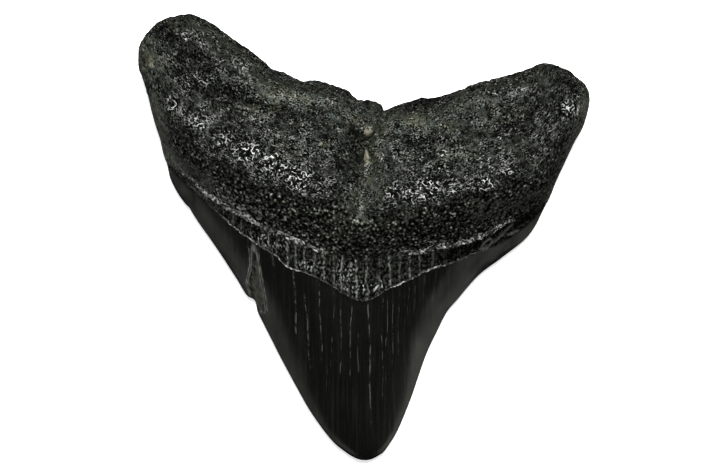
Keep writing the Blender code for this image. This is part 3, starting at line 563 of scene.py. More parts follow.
def labial_height(x, y, low, high, outline):
    """Height of the flat face that the tooth lies on: 0 where it is worn to the plane."""
    rim, blade = rim_height(x, y, low, high)
    past_enamel = y - line_value(LABIAL_ENAMEL_EDGE, x)
    on_root = ease(past_enamel / LABIAL_BLEND)
    to_tip = ease((LABIAL_TIP_FROM - y) / (LABIAL_TIP_FROM - TIP_Y))
    to_lobe = ease((np.abs(x) - LABIAL_LOBE_FROM) / (WIDTH / 2 - LABIAL_LOBE_FROM))
    crown_belly = LABIAL_EDGE_RISE * across_crown(x, y) ** LABIAL_EDGE_POWER + LABIAL_TIP_RISE * to_tip
    root_belly = LABIAL_LOBE_RISE * to_lobe + LABIAL_EDGE_STEP
    belly = crown_belly + (root_belly - crown_belly) * on_root - LABIAL_FLAT_SINK
    from_rim = distance_to(outline, x, y)
    sharp = blade * (1 - ease(past_enamel / BLADE_FADE))
    reach = ROOT_RIM_ROUND + (2 * CUTTING_EDGE_ROUND - ROOT_RIM_ROUND) * sharp
    return rim - (rim - np.maximum(belly, 0)) * quarter_round(from_rim, reach)


def skin_points(shape):
    """Points of the smooth skin, by section and place round its ring, and the two ends."""
    outline, upper, lower = plan_outline()
    x = stations(upper, shape.stations)
    low, high = np.interp(x, lower[:, 0], lower[:, 1]), np.interp(x, upper[:, 0], upper[:, 1])
    lines = [line_value(ENAMEL_EDGE, x), line_value(ROOT_EDGE, x)]
    knots = [0, CROWN_ROWS, CROWN_ROWS + BOURLETTE_ROWS, 1]
    up = rows_between(low, high, knots, lines, shape.lingual_rows)
    labial_line = [line_value(LABIAL_ENAMEL_EDGE, x)]
    down = rows_between(low, high, [0, LABIAL_CROWN_ROWS, 1], labial_line, shape.labial_rows + 2)[:, -2:0:-1]
    sides = []
    for y, height in ((up, lingual_height), (down, labial_height)):
        across = np.broadcast_to(x[:, None], y.shape)
        sides.append(np.stack([across, y, height(across, y, low[:, None], high[:, None], outline)], -1))
    ends = np.array([[*upper[0], ROOT_RIM_HEIGHT], [*upper[-1], ROOT_RIM_HEIGHT]])
    return np.concatenate(sides, axis=1), ends


def skin_normals(points):
    """Outward unit normals of the ring grid."""
    along = np.gradient(points, axis=0)
    around = np.roll(points, -1, axis=1) - np.roll(points, 1, axis=1)
    normals = np.cross(along, around)
    return normals / np.maximum(np.linalg.norm(normals, axis=-1, keepdims=True), TINY)


# Where one tissue gives way to the next, in millimetres: how far before its line, and over what length
BONE_BEGINS, BONE_BLEND = 0.1, 0.4
ENAMEL_ENDS, ENAMEL_BLEND = 0.2, 0.3


def tissue_masks(points, shape):
    """How far each point is bone, bourlette or enamel."""
    x, y = points[..., 0], points[..., 1]
    lingual = np.arange(points.shape[1])[None, :] < shape.lingual_rows
    root_from = np.where(lingual, line_value(ROOT_EDGE, x), line_value(LABIAL_ENAMEL_EDGE, x))
    enamel_to = np.where(lingual, line_value(ENAMEL_EDGE, x), line_value(LABIAL_ENAMEL_EDGE, x))
    bone = ease((y - root_from + BONE_BEGINS) / BONE_BLEND)
    enamel = 1 - ease((y - enamel_to + ENAMEL_ENDS) / ENAMEL_BLEND)
    return bone, np.clip(1 - bone - enamel, 0, 1), enamel


# Pores of the bone, in millimetres. They bend, and are open in patches.
PORE_BEND, PORE_BEND_SIZE = 0.4, 2.2
PORE_RADIUS = 0.6  # as a share of their spacing
OPEN_PATCH, OPEN_USUALLY, OPEN_VARIES, OPEN_LEAST = 1.9, 0.7, 0.8, 0.3
# The steep face begins this far below the crest, along a line that wavers
STEEP_BEGINS, STEEP_BLEND, STEEP_WAVER, STEEP_WAVER_SIZE = 2.2, 2.6, 0.8, 3.0


def bone_pores(x, y, z, shape):
    """How near a point is to the middle of a pore, and how far it is on the steep face: both 0 to 1."""
    bend = PORE_BEND * bumps(x, y, z, PORE_BEND_SIZE)
    open_pores = np.clip(OPEN_USUALLY + OPEN_VARIES * bumps(x, y, z, OPEN_PATCH), OPEN_LEAST, 1)
    away = cells(x + bend, y - bend, z, shape.pore_size / MM)
    pore = np.clip(1 - away / PORE_RADIUS, 0, 1) * open_pores
    waver = STEEP_WAVER * bumps(x, y, z, STEEP_WAVER_SIZE)
    steep = 1 - ease((y - line_value(CREST_LINE, x) + STEEP_BEGINS + waver) / STEEP_BLEND)
    return pore * (1 - steep), steep


# Curling ridges and nubs between the pores: heights are shares of a pore's depth, sizes are in millimetres
CURL_HEIGHT, CURL_SIZE, CURL_WIDTH = 0.35, 1.25, 0.45
NUB_HEIGHT, NUB_SIZE = 0.3, 0.7
PORE_SINKS_FROM, PORE_SINKS_OVER = 0.42, 0.4  # how near its middle a pore starts to sink, and how steeply


def bone_relief(x, y, z, shape, pore, steep):
    """Pores and what stands between them, in millimetres out from the skin."""
    curls = CURL_HEIGHT * (1 - np.clip(np.abs(bumps(x, y, z, CURL_SIZE)) / CURL_WIDTH, 0, 1)) * (1 - steep)
    nubs = NUB_HEIGHT * (1 + steep) * bumps(x, y, z, NUB_SIZE)
    sunk = ease((pore - PORE_SINKS_FROM) / PORE_SINKS_OVER)
    return shape.pore_depth / MM * (curls - sunk + nubs)


# Where the bone's sides are rubbed smooth, in millimetres: a strip along the rim that wavers
RUBBED_LEFT, RUBBED_RIGHT, RUBBED_BLEND = 0.8, 0.2, 2.6  # its width on either side, and what it blends over
RUBBED_WAVER, RUBBED_WAVER_SIZE = 0.5, 3.0
RUBBED_OUTSIDE, RUBBED_OUTSIDE_BLEND = 27.0, 4.0  # it lies outside this x ...
RUBBED_BELOW, RUBBED_BELOW_BLEND = 27.0, 6.0  # ... and below this y
RUBBED_AWAY = 0.85  # share of the relief that is gone where the bone is rubbed smooth


def rubbed_smooth(x, y, outline):
    """How far the bone is rubbed smooth, from 0 to 1: along its sides, below the ends of the lobes."""
    width = np.where(x < 0, RUBBED_LEFT, RUBBED_RIGHT) + RUBBED_WAVER * bumps(x, y, 0 * x, RUBBED_WAVER_SIZE)
    strip = 1 - ease((distance_to(outline, x, y) - width) / RUBBED_BLEND)
    strip = strip * ease((np.abs(x) - RUBBED_OUTSIDE) / RUBBED_OUTSIDE_BLEND)
    strip = strip * ease((RUBBED_BELOW - y) / RUBBED_BELOW_BLEND)
    return np.maximum(strip, np.clip(bands_at(RUBBED_BANDS, x, y), 0, 1))


# Ribs of the bourlette: sizes are in millimetres, heights are shares of a rib's height
RIB_HALF_WIDTH = 0.28
RIB_WANDER, RIB_WANDER_SIZE, RIB_WANDER_RUN = 0.22, 1.6, (0.6, 0.35)  # drawn out, most of all down the tooth
RIB_WANDER_SLICE = 3.0  # the height at which its noise is read, the same all over
RIB_BEADS, RIB_BEAD_SIZE = 0.7, 0.55
RIB_GRAIN, RIB_GRAIN_SIZE = 0.45, 0.45
BETWEEN_RIBS = 0.25  # how far the surface between ribs lies below the smooth skin


def bourlette_relief(x, y, z, shape):
    """Ribs that run down towards the enamel, broken into beads."""
    run_x, run_y = RIB_WANDER_RUN
    wander = RIB_WANDER * bumps(x * run_x, y * run_y, 0 * z + RIB_WANDER_SLICE, RIB_WANDER_SIZE)
    ridge = np.zeros(x.shape)
    for rib, plain in RIBS:
        ridge += plain * np.exp(-(((x - rib + wander) / RIB_HALF_WIDTH) ** 2))
    beads = RIB_BEADS * (1 + bumps(x, y, z, RIB_BEAD_SIZE))
    return shape.rib_height / MM * (ridge * beads - BETWEEN_RIBS + RIB_GRAIN * bumps(x, y, z, RIB_GRAIN_SIZE))


# Crumbling rims along the bourlette, in millimetres: the root's and the enamel's
ROOT_RIM_RISE, ROOT_RIM_HALF_WIDTH = 0.3, 0.42
ENAMEL_RIM_RISE, ENAMEL_RIM_HALF_WIDTH = 0.12, 0.15
CRUMB_SIZE, CRUMB_USUAL, CRUMB_VARIES, CRUMB_MOST = 0.5, 0.6, 1.2, 1.4
ENAMEL_UNBROKEN = 0.3  # share of the enamel's rim that stands between crumbs
ENAMEL_RIM_FROM, ENAMEL_RIM_TO, ENAMEL_RIM_FADE = -25.5, 22.0, 4.0  # where along the tooth it shows


def enamel_edge_share(x):
    """How plain the enamel's crumbling edge is along the tooth, 0 to 1."""
    return ease((x - ENAMEL_RIM_FROM) / ENAMEL_RIM_FADE) * ease((ENAMEL_RIM_TO - x) / ENAMEL_RIM_FADE)


def edge_beads(x, y, z):
    """How far the crumbling rims of the root and of the enamel stand up along the bourlette, 0 to about 1."""
    from_root, from_enamel = y - line_value(ROOT_EDGE, x), y - line_value(ENAMEL_EDGE, x)
    root = np.exp(-((from_root / ROOT_RIM_HALF_WIDTH) ** 2)) * line_value(ROOT_EDGE_SHOWS, x)
    enamel = np.exp(-((from_enamel / ENAMEL_RIM_HALF_WIDTH) ** 2)) * enamel_edge_share(x)
    crumbs = np.clip(CRUMB_USUAL + CRUMB_VARIES * bumps(x, y, z, CRUMB_SIZE), 0.0, CRUMB_MOST)
    return crumbs * root, (ENAMEL_UNBROKEN + (1 - ENAMEL_UNBROKEN) * crumbs) * enamel


# Enamel, in millimetres: height, size, and how much each is drawn out down the tooth. Real growth lines are
# finer: these are as coarse as the mesh needs to hold them.
WAVE_HEIGHT, WAVE_SIZE, WAVE_RUN = 0.02, 3.0, 0.3
GROWTH_HEIGHT, GROWTH_SIZE, GROWTH_RUN = 0.008, 0.7, 0.06


def enamel_relief(x, y, z):
    """The faintest waves and growth lines of enamel."""
    waves = WAVE_HEIGHT * bumps(x, y * WAVE_RUN, z, WAVE_SIZE)
    return waves + GROWTH_HEIGHT * bumps(x, y * GROWTH_RUN, 0 * z, GROWTH_SIZE)


def spots_at(spots, x, y):
    """How strongly a list of soft spots covers each point."""
    cover = np.zeros(x.shape)
    for sx, sy, rx, ry, strength in spots:
        cover = np.maximum(cover, strength * np.exp(-(((x - sx) / rx) ** 2) - ((y - sy) / ry) ** 2))
    return cover


def bands_at(bands, x, y):
    """How strongly a list of soft bands shades each point: the palest and the darkest there, together."""
    pale, dark = np.zeros(x.shape), np.zeros(x.shape)
    for ax, ay, bx, by, radius, strength in bands:
        run_x, run_y = bx - ax, by - ay
        along = np.clip(((x - ax) * run_x + (y - ay) * run_y) / (run_x**2 + run_y**2), 0, 1)
        away = np.hypot(x - ax - along * run_x, y - ay - along * run_y)
        shade = strength * np.exp(-((away / radius) ** 2))
        pale, dark = np.maximum(pale, shade), np.minimum(dark, shade)
    return pale + dark


# How lines down the tooth waver: how far in millimetres, and radians by each millimetre of y and by each line
LINE_WAVERS = ((0.12, 0.5, 2.1), (0.04, 1.6, 1.0))
LINE_OVERRUN = 0.2  # a line keeps its lean for this share of its length past its ends
# The share of its length over which a line fades at its top and at its foot, and how much is left at the end
FADE_IN, FADE_OUT = (0.06, 0.5), (0.15, 0.3)
# Between lines that nearly touch, beyond the outermost ones, and how many more could be counted there
LEAST_SPACING, SPACING_BEYOND, COUNT_BEYOND = 0.3, 1.5, 2.4
NEARLY_HALF = 0.49  # half way between two lines neither shows


def line_fields(lines, x, y):
    """A whole number on each line with smooth values between, and how plain the nearest line is."""
    order = sorted(lines)
    at = np.empty((len(order),) + y.shape)
    show = np.zeros(at.shape)
    for i, (x_top, x_bottom, y_top, y_bottom, plain) in enumerate(order):
        down = (y_top - y) / (y_top - y_bottom)
        waver = sum(far * np.sin(y * turn + shift * i) for far, turn, shift in LINE_WAVERS)
        at[i] = x_top + (x_bottom - x_top) * np.clip(down, -LINE_OVERRUN, 1 + LINE_OVERRUN) + waver
        fades = ease(down / FADE_IN[0] + FADE_IN[1]) * ease((1 - down) / FADE_OUT[0] + FADE_OUT[1])
        show[i] = plain * fades
    at = np.maximum.accumulate(at, axis=0)
    value = np.clip((x - at[0]) / SPACING_BEYOND, -COUNT_BEYOND, 0)
    for left, right in zip(at, at[1:]):
        value += np.clip((x - left) / np.maximum(right - left, LEAST_SPACING), 0, 1)
    value += np.clip((x - at[-1]) / SPACING_BEYOND, 0, COUNT_BEYOND)
    nearest = np.clip(np.rint(value), 0, len(order) - 1).astype(int)
    plain = np.take_along_axis(show, nearest[None], axis=0)[0]
    return value, np.where(np.abs(value - nearest) < NEARLY_HALF, plain, 0)


def fitted(points, lowest, highest):
    """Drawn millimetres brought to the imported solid's own box, in metres."""
    return TOOTH_LOW + (points - lowest) * (TOOTH_HIGH - TOOTH_LOW) / (highest - lowest)


def skin_faces(count, ring):
    """Quads between the sections, and a fan of triangles at each end."""
    i, j = np.meshgrid(np.arange(count - 1), np.arange(ring), indexing="ij")
    k = (j + 1) % ring
    quads = np.stack([i * ring + j, (i + 1) * ring + j, (i + 1) * ring + k, i * ring + k], -1).reshape(-1, 4)
    first, last = count * ring, count * ring + 1
    beside = [(place, (place + 1) % ring) for place in range(ring)]
    fans = [(first, a, b) for a, b in beside]
    fans += [(last, (count - 1) * ring + b, (count - 1) * ring + a) for a, b in beside]
    return quads.tolist() + fans


# the glint along a crumbling rim is painted: this is how much of it is left outside the places where it is
# strongest
DULL_EDGE = 0.1  # how much of its shine a crumbling rim keeps outside the places where it shines


def skin_fields(x, y, labial):
    """Fields that the materials read: where lines run, and how plain each thing on the lingual side is."""
    cracks, crack_plain = line_fields(CRACKS, x, y)
    ribs, rib_plain = line_fields([(rib, rib, *RIB_REACH, plain) for rib, plain in RIBS], x, y)
    # how strongly a glint is painted along the crumbling rims
    shine = DULL_EDGE + (1 - DULL_EDGE) * spots_at(GLINTING_EDGES, x, y)
    plain = {
        "crack_show": crack_plain,
        "rib_show": rib_plain,
        "mineral": spots_at(MINERAL_SPOTS, x, y),
        "stain": spots_at(STAIN_PATCHES, x, y),
        "light_and_shade": bands_at(LIGHT_AND_SHADE_BANDS, x, y),
        "mark": bands_at(MARKS, x, y),
        "polish_and_glint": spots_at(POLISHED_AND_GLINTING, x, y),
        "root_edge_show": shine * line_value(ROOT_EDGE_SHOWS, x),
        "enamel_edge_show": shine * enamel_edge_share(x),
        "scar": scar_hollow(x, y),
    }
    fields = {name: np.where(labial, 0, values) for name, values in plain.items()}
    fields["crack_at"], fields["rib_at"] = cracks, ribs
    fields["from_crest"] = y - line_value(CREST_LINE, x)
    fields["from_root_edge"] = y - line_value(ROOT_EDGE, x)
    fields["from_enamel_edge"] = y - line_value(ENAMEL_EDGE, x)
    return fields


def tooth_mesh(name, shape, materials):
    """The tooth's mesh with its relief, its materials and the fields that they read."""
    points, ends = skin_points(shape)
    x, y, z = (points[..., i] for i in range(3))
    bone, bourlette, enamel = tissue_masks(points, shape)
    labial = np.arange(points.shape[1])[None, :] >= shape.lingual_rows
    rubbed = rubbed_smooth(x, y, plan_outline()[0])
    pore, steep = bone_pores(x, y, z, shape)
    root_rim, enamel_rim = (np.where(labial, 0, rim) for rim in edge_beads(x, y, z))
    rough = bone * bone_relief(x, y, z, shape, pore, steep) * (1 - RUBBED_AWAY * rubbed)
    rough += bourlette * bourlette_relief(x, y, z, shape)
    rough += ROOT_RIM_RISE * root_rim + ENAMEL_RIM_RISE * enamel_rim
    out = rough + enamel * enamel_relief(x, y, z)
    points = points + skin_normals(points) * out[..., None]
    points[..., 2] = np.where(labial, np.maximum(points[..., 2], 0), points[..., 2])
    everything = np.vstack([points.reshape(-1, 3), ends])
    everything = fitted(everything, everything.min(0), everything.max(0))

    count, ring = points.shape[:2]
    mesh = bpy.data.meshes.new(name)
    mesh.from_pydata(everything.tolist(), [], skin_faces(count, ring))
    mesh.validate()

    for material in materials:
        mesh.materials.append(material)
    tissue = np.argmax(np.stack([bone, bourlette, enamel]), axis=0)
    of_faces = np.concatenate([tissue[:-1].reshape(-1), np.zeros(2 * ring, int)])  # both ends are bone
    mesh.polygons.foreach_set("material_index", of_faces.astype(np.int32))
    mesh.shade_smooth()

    fields = skin_fields(x, y, labial)
    fields.update(relief=rough, pore=pore, steep=np.where(labial, 0, steep), rubbed=rubbed)
    for field, values in fields.items():
        layer = mesh.attributes.new(field, "FLOAT", "POINT")
        layer.data.foreach_set("value", np.concatenate([values.reshape(-1), [0, 0]]).astype(np.float32))
    return mesh


# Settings and sockets that the materials share
TIMES, GREATER = {"operation": "MULTIPLY"}, {"operation": "MAXIMUM"}
EASED = {"interpolation_type": "SMOOTHSTEP"}
LOOKS = "Base Color", "Roughness", "Specular IOR Level", "Normal"
NOISE = "Vector", "Scale", "Detail", "Roughness"


def fill(tree, node, sockets):
    """Links or sets a node's sockets, by name or by place."""
    for place, value in sockets.items():
        if isinstance(value, bpy.types.NodeSocket):
            tree.links.new(value, node.inputs[place])
        else:
            node.inputs[place].default_value = value


def add(tree, kind, sockets=(), output=0, **settings):
    """Adds one node with its settings and its sockets' links or values, and gives one of its outputs."""
    node = tree.nodes.new("ShaderNode" + kind)
    for name, value in settings.items():
        setattr(node, name, value)
    fill(tree, node, sockets if isinstance(sockets, dict) else dict(enumerate(sockets)))
    return node.outputs[output]


def add_each(tree, kind, names, *rows):
    """Adds a node of one kind for each row of links or values of the sockets with those names."""
    return [add(tree, kind, dict(zip(names, row))) for row in rows]


def new_material(name, *fields):
    """An empty material, its tree, its surface shader and the fields of the mesh that it reads."""
    material = bpy.data.materials.new(name)
    material.use_nodes = True
    tree = material.node_tree
    read = [add(tree, "Attribute", output=2, attribute_name=field) for field in fields]
    return material, tree, tree.nodes["Principled BSDF"], read


def millimetres(tree):
    """Object coordinates in millimetres."""
    place = add(tree, "TexCoord", output=3)
    return add(tree, "VectorMath", {0: place, "Scale": 1 / MM}, operation="SCALE")


def added_up(tree, start, *parts):
    """A start with parts added to it: each a value and its weight."""
    for value, weight in parts:
        start = add(tree, "Math", (value, weight, start), operation="MULTIPLY_ADD")
    return start


def painted(tree, colour, *coats):
    """A colour under coats of others: each the share that it covers and its colour."""
    for share, coat in coats:
        colour = add(tree, "Mix", {0: share, 6: colour, 7: coat}, output=2, data_type="RGBA")
    return colour


def near(tree, value, low, high):
    """1 where a value is within a low distance of nought, falling to 0 at a high one."""
    away = add(tree, "Math", (value,), operation="ABSOLUTE")
    return add(tree, "MapRange", (away, low, high, 1.0, 0.0), **EASED)


def whole_number_near(tree, value):
    """How far a value is from the nearest whole number."""
    away = add(tree, "Math", (value, 1.0), operation="PINGPONG")
    return add(tree, "Math", (away, 0.5), operation="PINGPONG")


# Glints painted along crumbling edges, in millimetres: how far they waver, half their width, the size of a
# crumb ...
EDGE_WAVER = 0.9
ROOT_CRUMBS, ENAMEL_CRUMBS = (0.42, 0.42, 0.05), (0.1, 0.5, 0.45)  # ... and how much shows between crumbs


def crumbly_glint_line(tree, mm, edge, half_width, crumb, least):
    """A painted glint along an edge: a pale line that wavers, breaks into crumbs, and is as plain as its
    field says.
    """
    names = f"from_{edge}_edge", f"{edge}_edge_show"
    away, shows = (add(tree, "Attribute", output=2, attribute_name=name) for name in names)
    rows = (mm, 1 / EDGE_WAVER, 2.0, 0.5), (mm, 1 / crumb, 1.0, 0.5)
    waver, crumbs = add_each(tree, "TexNoise", NOISE, *rows)
    line = near(tree, added_up(tree, -0.45, (waver, 0.9), (away, 1.0)), 0.4 * half_width, 1.3 * half_width)
    crumbs = add(tree, "MapRange", (crumbs, 0.51, 0.6, least, 2.4), **EASED)
    line = add(tree, "Math", (line, crumbs), **TIMES)
    return add(tree, "Math", (line, shows), **TIMES)


# Patterns of the bone, in millimetres. The real grain is finer: it is drawn as coarse as it needs to show.
GRAIN, LUMP, BEAD, BEAD_SPACING = 0.21, 1.0, 0.52, 0.55
GRAIN_RUN = (0.72, 0.0, 0.5)  # the grain is drawn out along the lobes
BLOTCH, GRAIN_PATCH, TINT_PATCH = 1.6, 1.8, 2.8
GLINT_CURL, GLINT_CURL_LENGTH = 0.8, 0.7


def fossil_bone(finish):
    """Root bone of black phosphate, tumbled in sand: pitted, with shade painted in its pores and glints on
    its tops.
    """
    material, tree, surface, fields = new_material(
        "phosphate_bone_tumbled",
        "steep", "polish_and_glint", "rubbed", "pore", "from_crest", "relief", "light_and_shade", "stain", "mineral",
    )  # fmt: skip
    steep, polish_and_glint, rubbed, pore, from_crest, relief, light_and_shade, stain, mineral = fields
    node = partial(add, tree)
    mm = millimetres(tree)
    crest = node("CombineXYZ", {"Y": from_crest})
    along = node("VectorMath", (mm, GRAIN_RUN, crest), operation="MULTIPLY_ADD")
    speck, lump, bead, blotch, patch, warmth, winding, gaps = add_each(
        tree, "TexNoise", NOISE,
        (along, 1 / GRAIN, 1.0, 0.5), (along, 1 / LUMP, 2.0, 0.5), (mm, 1 / BEAD, 1.0, 0.5),
        (mm, 1 / BLOTCH, 4.0, 0.65), (mm, 1 / GRAIN_PATCH, 2.0, 0.5), (mm, 1 / TINT_PATCH, 3.0, 0.5),
        (mm, 1 / GLINT_CURL, 0.0, 0.5), (mm, 1 / GLINT_CURL_LENGTH, 0.0, 0.5),
    )  # fmt: skip
    spacing = node("TexVoronoi", {"Vector": mm, "Scale": 1 / BEAD_SPACING})

    # how far a place stands up, 0 to 1: above the crest, pores with their rims between a grain that is coarse
    # in patches; on the steep face below it, beads; and where it is rubbed smooth, the grain alone. The bands
    # of painted light and shade are added to it, and glossy places are painted darker between their glints;
    # the colour follows it, so that pores and other low places are painted dark as shade
    shaded_pit = node("MapRange", (pore, 0.42, 0.75), **EASED)
    rising = node("MapRange", (pore, 0.16, 0.25), **EASED)
    falling = node("MapRange", (pore, 0.34, 0.44, 1.0, 0.0), **EASED)
    rim = node("Math", (rising, falling), **TIMES)
    coarse = node("MapRange", (patch, 0.4, 0.6), **EASED)
    grain = node("Math", (added_up(tree, -0.5, (speck, 1.0)), added_up(tree, 1.1, (coarse, 2.6))), **TIMES)
    above = added_up(tree, -0.635, (grain, 1.0), (lump, 1.0), (shaded_pit, -0.35), (rim, 0.1))
    above = added_up(tree, above, (blotch, 0.5), (polish_and_glint, -0.2))
    below = added_up(tree, -0.55, (blotch, 0.9), (bead, 2.6), (spacing, -2.0))
    stands = added_up(tree, node("Mix", {0: steep, 2: above, 3: below}), (relief, 0.6))
    smooth = node("MapRange", (added_up(tree, -0.45, (rubbed, 1.0), (blotch, 0.9)), 0.2, 0.9), **EASED)
    stands = node("Mix", {0: smooth, 2: stands, 3: added_up(tree, -0.72, (speck, 2.6))})
    stands = added_up(tree, stands, (light_and_shade, 1.0))
    raised = node("MapRange", (stands, 0.05, 0.75), **EASED)
    uneven = added_up(tree, 1.0, (smooth, -0.8))
    pitted, beaded = added_up(tree, 0.0, (shaded_pit, -0.13), (speck, 0.12)), added_up(tree, 0.0, (bead, 0.3))
    height = node("Mix", {0: steep, 2: pitted, 3: beaded})
    bump = node("Bump", {"Height": height, "Distance": MM, "Strength": uneven})

    # painted glints: where the bone is rubbed glossy, curling ridges and the rims of pores take the pale
    # glint colour in place of glints from the lights; so do specks of the grain, the tops of beads and the
    # root's crumbling edge
    curl_glint = near(tree, added_up(tree, -0.5, (winding, 1.0)), 0.018, 0.052)
    curl_glint = node("Math", (curl_glint, node("MapRange", (gaps, 0.51, 0.54, 0.0, 1.4), **EASED)), **TIMES)
    rim_glint = node("Math", (rim, node("MapRange", (speck, 0.5, 0.6, 0.0, 0.35), **EASED)), **TIMES)
    glint_patches = added_up(tree, -0.24, (polish_and_glint, 1.0), (blotch, 0.35), (light_and_shade, 0.5))
    glint_patches = node("MapRange", (glint_patches, 0.1, 0.8, 0.03, 1.0), **EASED)
    glints_and_marks = node("Math", (node("Math", (rim_glint, curl_glint), **GREATER), glint_patches), **TIMES)
    glint = node("MapRange", (speck, 0.62, 0.74), **EASED)
    glint = node("Math", (glint, added_up(tree, 0.02, (coarse, 0.26))), **TIMES)
    glint = node("Mix", {0: steep, 2: glint, 3: node("MapRange", (stands, 0.75, 1.3, 0.0, 0.3), **EASED)})
    glints_and_marks = node("Math", (glints_and_marks, node("Math", (glint, uneven), **TIMES)), **GREATER)
    glints_and_marks = node("Math", (glints_and_marks, crumbly_glint_line(tree, mm, "root", *ROOT_CRUMBS)), **GREATER)

    # painted shade: black in the pores and other low places; charcoal between, paler on worn tops and where
    # light is painted, staining in patches, pale mineral in spots, and the painted glints over all
    stained = node("MapRange", (added_up(tree, blotch, (stain, 0.75)), 0.5, 1.2), **EASED)
    tint = painted(tree, finish.stain, (node("MapRange", (warmth, 0.44, 0.6), **EASED), finish.olive))
    spots = added_up(tree, mineral, (speck, 1.0), (blotch, 1.5))
    colour = painted(
        tree, finish.shaded_pit,
        (node("MapRange", (stands, -0.15, 0.45), **EASED), finish.bone),
        (node("MapRange", (stands, 0.5, 1.3), **EASED), finish.worn),
        (node("Math", (stained, raised), **TIMES), tint),
        (node("MapRange", (spots, 1.75, 2.1), **EASED), finish.mineral),
        (glints_and_marks, finish.glint_and_pale_mark),
    )  # fmt: skip
    roughness = added_up(tree, 0.62, (polish_and_glint, -0.18), (stained, 0.2), (raised, -0.30))
    gloss = node("Math", (raised, added_up(tree, 0.4, (polish_and_glint, 0.85))), **TIMES)
    fill(tree, surface, dict(zip(LOOKS, (colour, roughness, gloss, bump))))
    return material


# Patterns of the bourlette: how much each is drawn out down the tooth, its size in millimetres and its detail
RIB_SPECK, RIB_SWAY, RIB_GAP = (0.6, 0.34, 2.0), (0.5, 1.1, 1.0), (0.7, 0.5, 1.0)


def fossil_bourlette(finish):
    """Dentine between root and crown, its thin enamel worn off: black, with highlights painted on its rib
    tops.
    """
    material, tree, surface, fields = new_material(
        "bourlette_dentine_worn", "rib_at", "rib_show", "relief", "light_and_shade", "mark", "polish_and_glint"
    )
    rib_at, rib_show, relief, light_and_shade, mark, polish_and_glint = fields
    node = partial(add, tree)
    mm = millimetres(tree)
    rows = []
    for run, size, detail in (RIB_SPECK, RIB_SWAY, RIB_GAP):
        rows.append((node("VectorMath", (mm, (1.0, run, 1.0)), **TIMES), 1 / size, detail, 0.5))
    speck, sway, gap = add_each(tree, "TexNoise", NOISE, *rows)

    # ribs sway and break up on their way down
    rib = whole_number_near(tree, added_up(tree, -0.15, (sway, 0.3), (rib_at, 1.0)))
    rib = node("MapRange", (rib, 0.02, 0.15, 1.0, 0.0), **EASED)
    for share in (node("MapRange", (gap, 0.38, 0.64), **EASED), rib_show):
        rib = node("Math", (rib, share), **TIMES)
    bump = node("Bump", {"Height": added_up(tree, 0.0, (speck, 0.12), (rib, 0.06)), "Distance": MM})
    # how far a place stands up, with the bands of painted light and shade added; the colour follows it, so
    # low places between the ribs are painted dark as shade
    stands = added_up(tree, -0.82, (light_and_shade, 1.0), (speck, 2.2), (relief, 1.6))
    raised = node("MapRange", (stands, 0.0, 0.75), **EASED)

    # painted glints along its crumbling edges, painted highlights on its rib tops and in its glossy places,
    # and its real pale marks, all take the pale colour
    glints_and_marks = crumbly_glint_line(tree, mm, "root", *ROOT_CRUMBS)
    for other in (
        crumbly_glint_line(tree, mm, "enamel", *ENAMEL_CRUMBS),
        added_up(tree, 0.0, (rib, 0.3)),
        added_up(tree, 0.0, (mark, 0.16)),
        node("Math", (polish_and_glint, node("MapRange", (speck, 0.58, 0.66, 0.0, 1.3), **EASED)), **TIMES),
    ):
        glints_and_marks = node("Math", (glints_and_marks, other), **GREATER)
    colour = painted(
        tree, finish.shaded_pit,
        (node("MapRange", (stands, -0.05, 0.5), **EASED), finish.bone),
        (node("MapRange", (stands, 0.5, 1.1), **EASED), finish.worn),
        (glints_and_marks, finish.glint_and_pale_mark),
    )  # fmt: skip
    roughness = added_up(tree, 0.62, (raised, -0.32), (glints_and_marks, -0.14))
    gloss = node("Math", (raised, added_up(tree, 0.5, (glints_and_marks, 0.85))), **TIMES)
    fill(tree, surface, dict(zip(LOOKS, (colour, roughness, gloss, bump))))
    return material


# Patterns of the enamel: how much each is drawn out down the tooth and through it, its size in millimetres,
# its detail and its roughness. Real growth lines are finer: these are drawn as coarse as they need to show.
CRACK_BREAKS, GROWTH_LINES = (0.5, 1.0, 0.8, 3.0, 0.6), (0.04, 0.0, 0.45, 3.0, 0.5)
SCAR_STREAKS, SHEEN = (0.18, 1.0, 0.4, 3.0, 0.5), (0.6, 1.0, 2.6, 2.0, 0.5)
RUB_MARKS = (1.0, 1.0, 0.25, 2.0, 0.5)
GROWTH_DEPTH, RUB_DEPTH = 0.009, 0.002
ENAMEL_IOR = 1.6
ENAMEL_TINT = (1.0, 1.0, 0.86, 1.0)  # its reflections are a little warm


